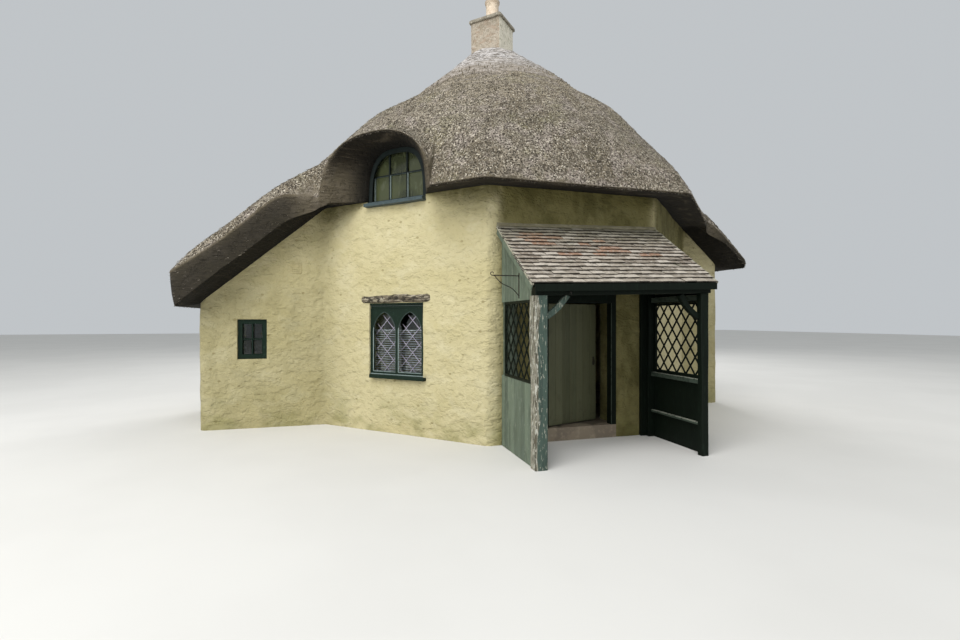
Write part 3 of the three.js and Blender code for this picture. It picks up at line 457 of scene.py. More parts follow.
# Lime render trowelled over the stack's masonry: buff-grey, stained below the cap
RENDER = Finish(
    "lime_render", "#b7ac9b", roughness=0.92, ior=1.45, layers=(
        Layer("#a0937f", size=(260, 260, 200), low=0.44, high=0.6, cover=0.7),
        Layer("#c6beb0", size=(90, 90, 60), low=0.5, high=0.64, cover=0.6, relief=3.0),
        # Courses of 75 mm show faintly through the render
        Layer("#9b7f69", size=(150, 150, 75), low=0.5, high=0.6, cover=0.5, relief=1.5),
        Layer("#857a69", size=(60, 60, 40), low=0.52, high=0.62, cover=0.6, relief=-2.0),
        Layer("#6f6857", size=26, low=0.6, high=0.7, cover=0.6, relief=-3.0),
        Layer("#6d6858", size=(120, 120, 260), low=0.45, high=0.62, cover=0.6,
              within=where_mask(Mask.HEIGHT, 7.25, 7.5)),
        # Painted light and shade: the pair of faces on the lamps' side is greyed, and the pair on the shaded
        # side is painted pale
        Layer("#8f8372", Mask.TONE, low=0.45, high=0.1, cover=0.35),
        Layer("#f4efdc", Mask.TONE, low=0.55, high=0.85, cover=0.7),
        Layer("#85876b", size=(70, 70, 90), low=0.5, high=0.66, cover=0.5,
              within=where_mask(Mask.TONE, 0.55, 0.7)),
    ),
)

# A cast slab left to the weather on top of the stack: dark grey with pale lichen
SLAB = Finish(
    "weathered_slab", "#8e8778", roughness=0.93, ior=1.5, layers=(
        Layer("#6e675a", size=90, low=0.45, high=0.62, cover=0.7, relief=1.5),
        Layer("#b5afa0", Mask.CELLS, size=55, low=0.3, high=0.2, cover=0.7, relief=0.8),
        Layer("#5a5a43", size=40, low=0.58, high=0.7, cover=0.6),
    ),
)

# Lime mortar pointed by hand along the top of the porch roof: dull, gritty, and darkened with stain and
# painted shade like the wall above it
MORTAR = Finish(
    "lime_mortar_fillet", "#7d775f", roughness=0.95, ior=1.45, layers=(
        Layer("#9a947d", size=(120, 120, 60), low=0.45, high=0.65, cover=0.6, relief=2.0),
        Layer("#55523c", size=30, low=0.55, high=0.7, cover=0.5, relief=-1.5),
    ),
)

# Lead cames between the window panes, oxidised to a pale grey line
CAME = Finish(
    "lead_came", "#b8b4bf", roughness=0.6, metallic=1.0, layers=(
        Layer("#9a96a2", size=12, low=0.45, high=0.65, cover=0.6, relief=0.2),
    ),
)

# Enamelled slats of a blind behind the glass: a cool lilac grey, satin
SLAT = Finish(
    "enamelled_slat", "#e0dae4", roughness=0.4, ior=1.5, layers=(
        Layer("#bdb5c2", size=60, low=0.45, high=0.65, cover=0.5),
    ),
)

# Forged iron under worn black paint
IRON = Finish(
    "forged_iron", "#2b2a27", roughness=0.6, metallic=0.6, layers=(
        Layer("#6b4630", size=14, low=0.56, high=0.66, cover=0.6, relief=0.2, roughness=0.85),
    ),
)

# Pale lime mortar that beds the tiles along the porch's verges
BEDDING = Finish(
    "lime_verge_bedding", "#a3a08e", roughness=0.9, ior=1.45, layers=(
        Layer("#7b7867", size=60, low=0.48, high=0.64, cover=0.6, relief=-0.8),
        Layer("#c3c0b2", size=20, low=0.58, high=0.68, cover=0.6, relief=0.6),
    ),
)

# Worn stone flags of the ground floor: warm grey, polished by feet, with 8 mm joints
FLAGS = Finish(
    "worn_stone_flags", "#8c7f6c", roughness=0.6, ior=1.5, layers=(
        Layer("#75695a", size=450, low=0.44, high=0.56, cover=0.7),
        Layer("#a39781", size=60, low=0.5, high=0.68, cover=0.5, relief=0.8),
        Layer("#4e463a", Mask.CELLS, size=(520, 520, 900), low=0.62, high=0.7, cover=0.8, relief=-4.0),
    ),
)

# Wide oak boards of the upper floor, limed by age
FLOORBOARDS = Finish(
    "old_oak_floorboards", "#8a6f50", roughness=0.7, ior=1.5, layers=(
        Layer("#6d553b", size=(900, 180, 900), low=0.46, high=0.54, cover=0.7),
        Layer("#a58a67", size=(500, 9, 60), low=0.5, high=0.66, cover=0.5, relief=0.6),
    ),
)

# Drawn window glass, a little uneven: clear, with soft wavering reflections
GLASS = Finish(
    "drawn_window_glass", "#dfe8e2", roughness=0.04, ior=1.5, transmission=1.0, layers=(
        Layer("#cfdcd4", size=180, low=0.4, high=0.7, cover=0.6, relief=0.6),
    ),
)

# The upper windows' glass, olive and half clear, with an olive ground and darker blotches that paint the
# foliage's reflection and the shade under the eyebrow
GLASS_PAINTED_REFLECTION = Finish(
    "olive_glass_painted_reflection", "#5f6545", roughness=0.12, ior=1.45, transmission=0.35, layers=(
        Layer("#3f4530", size=420, low=0.38, high=0.62, cover=0.8, relief=0.4, detail=1.0),
        Layer("#7c8266", size=(90, 90, 200), low=0.56, high=0.7, cover=0.5),
    ),
)


# Meshes


def mottle(points: Points, size: float | Sequence[float], seed: int = 0) -> Values:
    """Smooth noise at points in space.

    Args:
        points: the points, one a row.
        size: the size of a blotch, the same or one for each axis.
        seed: picks another pattern.

    Returns:
        A value from -1 to 1 for each point.
    """
    apart, primes, spread = 17.31, (374761393, 668265263, 1442695041), 1274126177
    scaled = np.asarray(points, float) / np.asarray(size) + seed * apart
    cell = np.floor(scaled).astype(np.int64)
    part = scaled - cell
    part = part * part * (3 - 2 * part)
    total = np.zeros(scaled.shape[:-1])
    for corner in range(8):
        step = np.array([(corner >> axis) & 1 for axis in range(3)])
        at = cell + step
        key = at @ np.array(primes)
        key = (key ^ (key >> 13)) * spread
        value = ((key ^ (key >> 16)) & 0xFFFF) / 32767.5 - 1
        total += value * np.prod(np.where(step, part, 1 - part), axis=-1)
    return total


def unit(vectors: Points) -> Points:
    """Scale vectors to a length of one."""
    return vectors / np.linalg.norm(vectors, axis=-1, keepdims=True)


def hump(distance: Values, width: float) -> Values:
    """Give a soft hump: 1 at no distance, and little past its width."""
    return np.exp(-(distance / width) ** 2)


def all_round(count: int, start: float = 0.0) -> Values:
    """Divide a full turn into equal angles."""
    return np.linspace(start, start + 2 * math.pi, count, endpoint=False)


def pointing(angle: Values, up: Shade, out: float = 1.0) -> Points:
    """Give the vectors that point out at angles and up."""
    return np.stack([out * np.cos(angle), out * np.sin(angle), np.broadcast_to(up, len(angle))], axis=1)


def grid_faces(rows: int, columns: int, close_rows: bool = False,
               close_columns: bool = False) -> list[tuple[int, ...]]:
    """List the quads of a grid of corners.

    Args:
        rows: how many rows of corners there are.
        columns: how many corners a row has.
        close_rows: joins the last row to the first.
        close_columns: joins each row's last corner to its first.

    Returns:
        The quads as corner numbers.
    """
    faces = []
    for i in range(rows if close_rows else rows - 1):
        for j in range(columns if close_columns else columns - 1):
            i2, j2 = (i + 1) % rows, (j + 1) % columns
            faces.append((i * columns + j, i * columns + j2, i2 * columns + j2, i2 * columns + j))
    return faces


@dataclass
class Draft:
    """The corners and faces of one piece while it is drawn.

    Attributes:
        place: turns the drawing's own coordinates into the frame's.
        corners: the corners of each form, in the frame.
        faces: the faces of all the forms.
        tones: the number that the finish varies by, for each face.
        weather_and_shade_values: the painted shade and weathering that each corner shows.
        count: how many corners there are.
        arris: how far a bead's edges lie behind the middle of its face.
        bevel_from: the sharpest angle in degrees that a bevel leaves alone.
    """

    place: Placer | None = None
    corners: list[Points] = field(default_factory=list)
    faces: list[tuple[int, ...]] = field(default_factory=list)
    tones: list[float] = field(default_factory=list)
    weather_and_shade_values: list[Values] = field(default_factory=list)
    count: int = 0
    arris: float = 0.003
    bevel_from: float = 35.0

    def add(self, corners: Points, faces: Iterable[Sequence[int]], tone: Shade = 0.5,
            shade_and_weather: Shade = 0.0) -> None:
        """Add corners and the faces between them.

        Args:
            corners: the corners, one a row.
            faces: each face as numbers of these corners.
            tone: the number that the finish varies by, for all the faces or for each.
            shade_and_weather: the painted shade and weathering of all the corners or of each.
        """
        corners = np.asarray(corners, float).reshape(-1, 3)
        if self.place:
            corners = self.place(corners)
        moved = [tuple(int(i) + self.count for i in face) for face in faces]
        self.corners.append(corners)
        self.faces += moved
        self.tones += list(np.broadcast_to(tone, len(moved)))
        self.weather_and_shade_values.append(np.broadcast_to(shade_and_weather, len(corners)))
        self.count += len(corners)

    def loft(self, loops: Points, ring: bool = False, tone: Shade = 0.5, shade_and_weather: Shade = 0.0) -> None:
        """Add a skin over closed loops of corners, closed at both ends.

        Args:
            loops: an array of loops, each with the same number of corners.
            ring: joins the last loop to the first in place of closing them.
            tone: the number that the finish varies by, for all the faces or for each.
            shade_and_weather: the painted shade and weathering of all the corners or of each.
        """
        loops = np.asarray(loops, float)
        rows, columns = loops.shape[:2]
        faces = grid_faces(rows, columns, ring, True)
        if not ring:
            last = (rows - 1) * columns
            faces += [tuple(range(columns))[::-1], tuple(range(last, last + columns))]
        self.add(loops.reshape(-1, 3), faces, tone, np.broadcast_to(shade_and_weather, (rows, columns)).reshape(-1))

    def box(self, low: Sequence[float], high: Sequence[float], tone: float = 0.5) -> None:
        """Add a box between two corners.

        Args:
            low: its lowest corner.
            high: its highest corner.
            tone: the number that the finish varies by.
        """
        (x0, y0, z0), (x1, y1, z1) = low, high
        rows = [[(x0, y0, z), (x1, y0, z), (x1, y1, z), (x0, y1, z)] for z in (z0, z1)]
        self.loft(np.array(rows), tone=tone)

    def bar(self, start: Sequence[float], end: Sequence[float], width: float, depth: float,
            across: Sequence[float] = (0, 0, 1)) -> None:
        """Add a straight bar of a rectangular section.

        Args:
            start: the middle of one end.
            end: the middle of the other end.
            width: its size along the direction across.
            depth: its size square to that.
            across: a direction that isn't along the bar.
        """
        a, b = np.asarray(start, float), np.asarray(end, float)
        along = unit(b - a)
        side = unit(np.asarray(across, float) - along * np.dot(across, along))
        other = np.cross(along, side)
        around = [(-1, -1), (1, -1), (1, 1), (-1, 1)]
        loops = [[p + side * u * width / 2 + other * v * depth / 2 for u, v in around] for p in (a, b)]
        self.loft(np.array(loops))

    def tube(self, path: Points, radius: float, sides: int = 8) -> None:
        """Add a round rod along a path.

        Args:
            path: the points that it follows.
            radius: the rod's radius.
            sides: how many sides its section has.
        """
        path = np.asarray(path, float)
        along = unit(np.gradient(path, axis=0))
        # No rod of the cottage runs along this direction
        side = unit(np.cross(along, np.array([0.31, 0.87, 0.12])))
        other = np.cross(along, side)
        turn = all_round(sides)
        loops = path[:, None] + radius * (
            np.cos(turn)[None, :, None] * side[:, None] + np.sin(turn)[None, :, None] * other[:, None])
        self.loft(loops)

    def bead(self, path: Points, width: float, near: float, far: float, tone: float = 0.5) -> None:
        """Add a flat moulding along a path drawn in the first and third coordinates.

        Args:
            path: the points of its middle line, as (first, third).
            width: its width across the path.
            near: the second coordinate of its face.
            far: the second coordinate of its back.
            tone: the number that the finish varies by.
        """
        path = np.asarray(path, float)
        along = unit(np.gradient(path, axis=0))
        out = np.stack([along[:, 1], -along[:, 0]], axis=1) * width / 2
        left, right, edge = path + out, path - out, near + self.arris
        section = [(left, edge), (path, near), (right, edge), (right, far), (left, far)]
        loops = [np.stack([p[:, 0], np.full(len(p), w), p[:, 1]], axis=1) for p, w in section]
        self.loft(np.stack(loops, axis=1), tone=tone)

    def plate(self, outline: Points, holes: Sequence[Points], near: float, far: float) -> None:
        """Add a plate with holes, drawn in the first and third coordinates.

        Args:
            outline: its outer edge, as (first, third).
            holes: the edges of its holes.
            near: the second coordinate of its face.
            far: the second coordinate of its back.
        """
        loops = [np.asarray(loop, float) for loop in (outline, *holes)]
        flat = np.concatenate(loops)
        triangles = tessellate_polygon([[Vector((x, z, 0)) for x, z in loop] for loop in loops])
        count = len(flat)
        corners = [np.stack([flat[:, 0], np.full(count, w), flat[:, 1]], axis=1) for w in (near, far)]
        faces = [tuple(t) for t in triangles] + [tuple(i + count for i in reversed(t)) for t in triangles]
        start = 0
        for loop in loops:
            ring = [start + i for i in range(len(loop))]
            faces += [(a, b, b + count, a + count) for a, b in zip(ring, ring[1:] + ring[:1])]
            start += len(loop)
        self.add(np.concatenate(corners), faces)

    def piece(self, name: str, finish: Finish, slot: str, bevel: float = 0.0, smooth: float = 40.0,
              body: str = HOUSE, replaces: Sequence[str] = ()) -> bpy.types.Object:
        """Make the piece from the drawing.

        Args:
            name: the piece's name.
            finish: what covers it.
            slot: the name of its material slot; not used.
            bevel: the width of its worn edges.
            smooth: the sharpest angle in degrees that is shaded as one surface.
            body: the CAD body that it rides on.
            replaces: the CAD nodes that it stands for.

        Returns:
            The piece, in place and riding on its body.
        """
        low, high = (np.array(corner) for corner in CAD_BOX)
        corners = np.clip(np.concatenate(self.corners), low + MARGIN, high - MARGIN)
        mesh = bpy.data.meshes.new(name)
        mesh.from_pydata(corners.tolist(), [], self.faces)
        numbers = (("tone", "FACE", self.tones), ("shade_and_weather", "POINT", np.concatenate(self.weather_and_shade_values)))
        for kind, on, values in numbers:
            written = np.asarray(values, np.float32)
            mesh.attributes.new(kind, "FLOAT", on).data.foreach_set("value", written)
        shape = bmesh.new()
        shape.from_mesh(mesh)
        bmesh.ops.remove_doubles(shape, verts=shape.verts, dist=WELD)
        bmesh.ops.dissolve_degenerate(shape, dist=WELD, edges=shape.edges)
        bmesh.ops.recalc_face_normals(shape, faces=shape.faces)
        if bevel:
            least = math.radians(self.bevel_from)
            sharp = [e for e in shape.edges if len(e.link_faces) == 2 and e.calc_face_angle(0) > least]
            bmesh.ops.bevel(shape, geom=sharp, offset=bevel, segments=1, affect="EDGES", clamp_overlap=True)
            for vertex in shape.verts:
                vertex.co.z = max(vertex.co.z, low[2] + MARGIN)
        shape.to_mesh(mesh)
        shape.free()
        mesh.polygons.foreach_set("use_smooth", [True] * len(mesh.polygons))
        mesh.set_sharp_from_angle(angle=math.radians(smooth))
        mesh.materials.append(finish.material())
        made = bpy.data.objects.new(name, mesh)
        bpy.context.scene.collection.objects.link(made)
        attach(made, body)
        if replaces:
            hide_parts(*replaces)
        log.info("%s: %d faces in %s", name, len(mesh.polygons), finish.name)
        return made


# Setting out


class Side(IntEnum):
    """The sides of the plan, each from its corner of the same number to the next."""

    WING_LEFT_FRONT = 0
    WINDOW = 1
    FRONT = 2
    RIGHT = 3
    WING_RIGHT_FRONT = 4
    WING_RIGHT_END = 5
    WING_RIGHT_BACK = 6
    BACK_WINDOW = 7
    BACK = 8
    BACK_LEFT = 9
    WING_LEFT_BACK = 10
    WING_LEFT_END = 11


class Named(Enum):
    """A choice whose own name shows in the names of pieces."""

    def __str__(self) -> str:
        """Give the choice's name in small letters."""
        return self.name.lower()


class Facing(Named):
    """Which way a window faces, and the side of the plan that it is in."""

    FRONT = Side.WINDOW
    BACK = Side.BACK_WINDOW


class Hand(Named):
    """A side of the porch, and the direction from it into the porch."""

    LEFT = 1
    RIGHT = -1


WINDOW_SIDES = [facing.value for facing in Facing]


@dataclass(frozen=True)
class Plan:
    """The plan and the levels that every part of the house is set out from."""

    front_y: float = 3.25
    front_half: float = 1.29
    cant: float = 2.065
    wing_left: float = -5.17
    wing_right: float = 4.2
    wall: float = 0.45
    wall_top: float = 3.44
    wing_pitch: float = 0.848
    axis_x: float = -0.19
    eaves_out: float = 0.5
    wing_end_out: float = 0.3
    window_middle: float = 1.39

    @property
    def fold(self) -> Pair:
        """Where a canted wall meets a wing, as sizes from the middle."""
        return self.front_half + self.cant, self.front_y - self.cant

    def corners(self) -> Points:
        """Set out the outline of the walls.

        Returns:
            Its corners, anticlockwise from the front corner of the left wing.
        """
        x, y = self.fold
        front = [(self.wing_left, -y), (-x, -y), (-self.front_half, -self.front_y)]
        front += [(self.front_half, -self.front_y), (x, -y), (self.wing_right, -y)]
        return np.array(front + [(x, -y) for x, y in reversed(front)])

    def side(self, side: int) -> tuple[Points, Points, Points, float]:
        """Tell how a side lies.

        Args:
            side: the side's number.

        Returns:
            Its start, its direction, the direction into the house, and its length.
        """
        corners = self.corners()
        start = corners[side % 12]
        edge = corners[(side + 1) % 12] - start
        length = float(np.linalg.norm(edge))
        along = edge / length
        return start, along, np.array([-along[1], along[0]]), length

    def turn(self, corner: int) -> float:
        """Give the angle that the outline turns through at a corner, positive to the left."""
        before, after = self.side(corner - 1)[1], self.side(corner)[1]
        return math.atan2(before[0] * after[1] - before[1] * after[0], float(before @ after))

    def moved(self, distances: Sequence[float]) -> Points:
        """Move each side inward.

        Args:
            distances: how far each of the twelve sides moves, outward where negative.

        Returns:
            The corners of the moved outline.
        """
        made = []
        for k, corner in enumerate(self.corners()):
            n1, n2 = self.side(k - 1)[2], self.side(k)[2]
            made.append(corner + np.linalg.solve(np.array([n1, n2]), [distances[k - 1], distances[k]]))
        return np.array(made)

    def underside(self, x: Values) -> Values:
        """Give the height of the thatch's flat underside, level over the body and raked over the wings."""
        return self.wall_top - self.wing_pitch * np.maximum(0.0, np.abs(x) - self.fold[0])

    def against(self, side: int) -> Placer:
        """Give the placer for a drawing made along a wall, into it and up.

        Args:
            side: the wall's side.

        Returns:
            What puts points of the drawing into the frame.
        """
        start, along, inward, _ = self.side(side)

        def place(points: Points) -> Points:
            """Put points drawn against the wall into the frame."""
            flat = start + points[:, :1] * along + points[:, 1:2] * inward
            return np.column_stack([flat, points[:, 2]])

        return place


@dataclass(frozen=True)
class Opening:
    """A hole through a wall, between two distances along its side and two levels."""

    side: Side
    left: float
    right: float
    bottom: float
    top: float


@dataclass
class CobWalls:
    """The earth walls in one skin, round at their corners and open at the windows and the door."""

    plan: Plan = Plan()
    corner_round: float = 0.13
    inner_round: float = 0.05
    cell: float = 0.07
    rise: float = 0.043
    rake_from: float = 1.68
    even_end: float = 0.6
    trowelled: tuple[float, float, float, float] = (0.011, 0.006, 0.003, 0.010)
    strongest: float = 0.75
    fold_stain_and_shade: float = 0.4
    fold_band_thins_from: float = 2.0
    under_eaves_reach: float = 0.34
    mouth_half: float = 0.5
    openings: tuple[Opening, ...] = (
        Opening(Side.WINDOW, 0.898, 1.882, 0.80, 1.91),
        Opening(Side.WINDOW, 0.855, 1.925, 3.35, 3.44),
        Opening(Side.BACK_WINDOW, 0.898, 1.882, 0.80, 1.91),
        Opening(Side.BACK_WINDOW, 0.855, 1.925, 3.35, 3.44),
        Opening(Side.FRONT, 0.745, 1.91, 0.0, 2.02),
        Opening(Side.WING_LEFT_FRONT, 0.525, 0.945, 1.06, 1.67),
    )

    def marks(self, low: float, high: float, forced: Iterable[float], step: float) -> Values:
        """Divide a length.

        Args:
            low: its start.
            high: its end.
            forced: places that have to have a mark.
            step: the widest gap between marks.

        Returns:
            The marks, from the start to the end.
        """
        ends = sorted({low, high, *(m for m in forced if low < m < high)})
        parts = [np.linspace(a, b, max(1, math.ceil((b - a) / step)), endpoint=False)
                 for a, b in zip(ends, ends[1:])]
        return np.append(np.concatenate(parts), high)

    def path(self) -> tuple[Points, Points, Points, Values, Values]:
        """Walk round the outline.

        Returns:
            The outer and the inner points, the outward normals, and each point's side and place along it.
        """
        plan = self.plan
        outer, inner, normals, sides, places = [], [], [], [], []
        cut = [self.corner_round * math.tan(abs(plan.turn(k)) / 2) for k in range(12)]
        inner_corners = plan.moved([plan.wall] * 12)
        for k in range(12):
            start, along, inward, length = plan.side(k)
            first, last = cut[k], length - cut[(k + 1) % 12]
            edges = [e for o in self.openings if o.side == k for e in (o.left, o.right)]
            t = self.marks(first, last, edges, self.cell)
            # The inner face has as many points as the outer, straight across from them along most of a wall
            a, b = (math.tan(plan.turn(c) / 2) * plan.wall for c in (k, k + 1))
            known, wanted = [first, last], [a + self.inner_round, length - b - self.inner_round]
            if length > 2.5 * self.even_end:
                known[1:1] = wanted[1:1] = [self.even_end, length - self.even_end]
            inner_t = np.interp(t, known, wanted)
            outer += list(start + t[:, None] * along)
            inner += list(start + inner_t[:, None] * along + plan.wall * inward)
            normals += [-inward] * len(t)
            sides += [k] * len(t)
            places += list(t)
            after, next_inward = plan.side(k + 1)[1:3]
            ends = ((outer, plan.corners()[(k + 1) % 12], cut[(k + 1) % 12]),
                    (inner, inner_corners[(k + 1) % 12], self.inner_round))
            for share in (0.25, 0.5, 0.75):
                bend = [(1 - share) ** 2, 2 * share * (1 - share), share ** 2]
                for points, corner, reach in ends:
                    points.append(bend[0] * (corner - along * reach) + bend[1] * corner
                                  + bend[2] * (corner + after * reach))
                normals.append(unit(-(1 - share) * inward - share * next_inward))
                sides.append(-1)
                places.append(0.0)
        return np.array(outer), np.array(inner), np.array(normals), np.array(sides), np.array(places)

    def levels(self, points: Points, marks: Values) -> Values:
        """Fit the rows to the wall's top, closing them up only where the wings' rake cuts it.

        Args:
            points: the places round the wall.
            marks: the levels of the rows where nothing is cut.

        Returns:
            The level of every row at every place.
        """
        top = self.plan.underside(points[:, 0]) - 0.001
        share = np.clip((marks - self.rake_from) / (self.plan.wall_top - self.rake_from), 0, 1)
        raked = self.rake_from + share * (top[:, None] - self.rake_from)
        return np.where(marks < self.rake_from, marks, raked)

    def shade_and_weather(self, points: Points, sides: Values, places: Values) -> Values:
        """Tell how much green stain and painted shade each corner of the wall shows, little under the
        eyebrows' open mouths.

        Args:
            points: the wall's outer corners, a column of them for each place round it.
            sides: the side of each place.
            places: how far along its side each place is.

        Returns:
            A value from 0 to 1 for each corner.
        """
        plan = self.plan
        x, level = points[..., 0], points[..., 2]
        below, rake = plan.wall_top - level, plan.underside(x) - level
        past = np.abs(x) - plan.fold[0]
        near_fold = hump(past, 0.3)
        reach = np.full(len(places), self.under_eaves_reach)
        base = np.where(past[:, 0] > -0.05, self.fold_stain_and_shade, 0.0)
        for side in WINDOW_SIDES:
            length = plan.side(side)[3]
            along = places if side == Side.WINDOW else length - places
            beside = np.abs(places - plan.window_middle) - self.mouth_half
            under = 0.36 * np.clip(beside / 0.5, 0.1, 1)
            corner = 0.24 * hump(along, 0.45) + 0.2 * hump(length - along, 0.6)
            here = sides == side
            reach[here] = (under + corner)[here]
            base[here] = (self.fold_stain_and_shade * np.clip(1 - along / 0.9, 0, 1))[here]
        # The stain and painted shade beside the folds thin out above the height of the windows' heads
        thinned = 1 - 0.62 * np.clip((level - self.fold_band_thins_from) / 0.5, 0, 1) * (1 - near_fold)
        # A band of green stain and painted shade below the eaves, shallow under the eyebrows' mouths
        under_eaves_band = self.strongest * np.clip(1 - below / reach[:, None], 0, 1) ** 0.8
        body = np.maximum(under_eaves_band, base[:, None] * thinned)
        # Stain and painted shade below the eaves by the folds, and painted shade just under the wings'
        # verges
        fold = self.strongest * np.clip(1 - below / 0.6, 0, 1) * near_fold
        verge = 0.3 * np.clip(1 - rake / 0.2, 0, 1)
        wing = np.maximum(np.maximum(verge, fold), self.fold_stain_and_shade * thinned)
        # Painted shade under the porch's roof and on the right wall darkens those walls all over their tops
        porch = np.clip(1.3 - np.abs(x - 0.05), 0, 0.22) / 0.22 * np.clip(1.1 - below / 0.9, 0.86, 1)
        shaded = 0.9 * np.clip((level - 2.05) / 0.5, 0, 1)
        for side, walls_stain_and_shade in ((Side.FRONT, porch), (Side.RIGHT, shaded)):
            body = np.where((sides == side)[:, None], np.maximum(body, walls_stain_and_shade), body)
        walls_stain_and_shade = np.where(past > 0.0, wing, body)
        # The rounded corners go from one side's to the next's
        here, known = np.arange(len(places)), sides >= 0
        return np.stack([np.interp(here, here[known], row[known]) for row in walls_stain_and_shade.T], axis=1)

    def build(self) -> None:
        """Build the walls."""
        outer, inner, normals, sides, places = self.path()
        edges = [e for o in self.openings for e in (o.bottom, o.top)]
        marks = self.marks(0.0, self.plan.wall_top, edges, self.rise)
        rows, count = len(marks), len(outer)
        middle_z = (marks[:-1] + marks[1:]) / 2
        after = (np.arange(count) + 1) % count
        middle_t = (places + places[after]) / 2
        gone = np.zeros((count, rows - 1), bool)
        for o in self.openings:
            across = (sides == o.side) & (sides[after] == o.side)
            across &= (middle_t > o.left) & (middle_t < o.right)
            gone |= across[:, None] & ((middle_z > o.bottom) & (middle_z < o.top))[None]
        near = np.zeros((count, rows), bool)
        for across in (0, 1):
            for up in (0, 1):
                near[:, up:rows - 1 + up] |= np.roll(gone, across, axis=0)
        flat = np.repeat(outer[:, None], rows, axis=1)
        front = np.concatenate([flat, self.levels(outer, marks)[..., None]], axis=2)
        broad, hand, finger, worn = self.trowelled
        wave = (broad * mottle(front, 0.9, 1) + hand * mottle(front, (0.3, 0.3, 0.18), 2)
                + finger * mottle(front, (0.16, 0.16, 0.1), 3) - worn * near)
        front[..., :2] += normals[:, None] * wave[..., None]
        flat = np.repeat(inner[:, None], rows, axis=1)
        back = np.concatenate([flat, self.levels(inner, marks)[..., None]], axis=2)
        total = count * rows
        number = np.arange(total).reshape(count, rows)
        faces = []
        for i in range(count):
            k = (i + 1) % count
            for j in range(rows - 1):
                if gone[i, j]:
                    continue
                a, b, c, d = number[i, j], number[k, j], number[k, j + 1], number[i, j + 1]
                faces += [(a, b, c, d), (d + total, c + total, b + total, a + total)]
                if j == 0 or gone[i, j - 1]:
                    faces.append((b, a, a + total, b + total))
                if j == rows - 2 or gone[i, j + 1]:
                    faces.append((d, c, c + total, d + total))
                if gone[i - 1, j]:
                    faces.append((a, d, d + total, a + total))
                if gone[k, j]:
                    faces.append((c, b, b + total, c + total))
        draft = Draft()
        shade_and_weather = self.shade_and_weather(front, sides, places)
        # The painted shade and stain go in along the reveals
        draft.add(np.concatenate([front, back]), faces, shade_and_weather=np.append(shade_and_weather, shade_and_weather * near))
        draft.piece("cob_walls", COB, "cob", smooth=55, replaces=[
            "wall_door_left", "wall_door_right", "wall_door_over", "wall_window_front", "wall_right",
            "wall_window_back", "wall_back", "wall_back_left", "wing_left_front", "wing_left_end",
            "wing_left_back", "wing_right_front", "wing_right_end", "wing_right_back",
        ])


def eased(values: Values, half: int, **ends: str) -> Values:
    """Round off a row of values that runs all the way round, unless its ends are told to go on otherwise."""
    weights = np.hanning(2 * half + 1) / np.hanning(2 * half + 1).sum()
    return np.convolve(np.pad(values, half, **(ends or {"mode": "wrap"})), weights, mode="valid")


def square_reach(half: float, angle: Values) -> Values:
    """Give how far a square set cornerwise reaches from its middle at angles round it."""
    turned = angle - math.pi / 4
    return half / np.maximum(np.abs(np.cos(turned)), np.abs(np.sin(turned)))


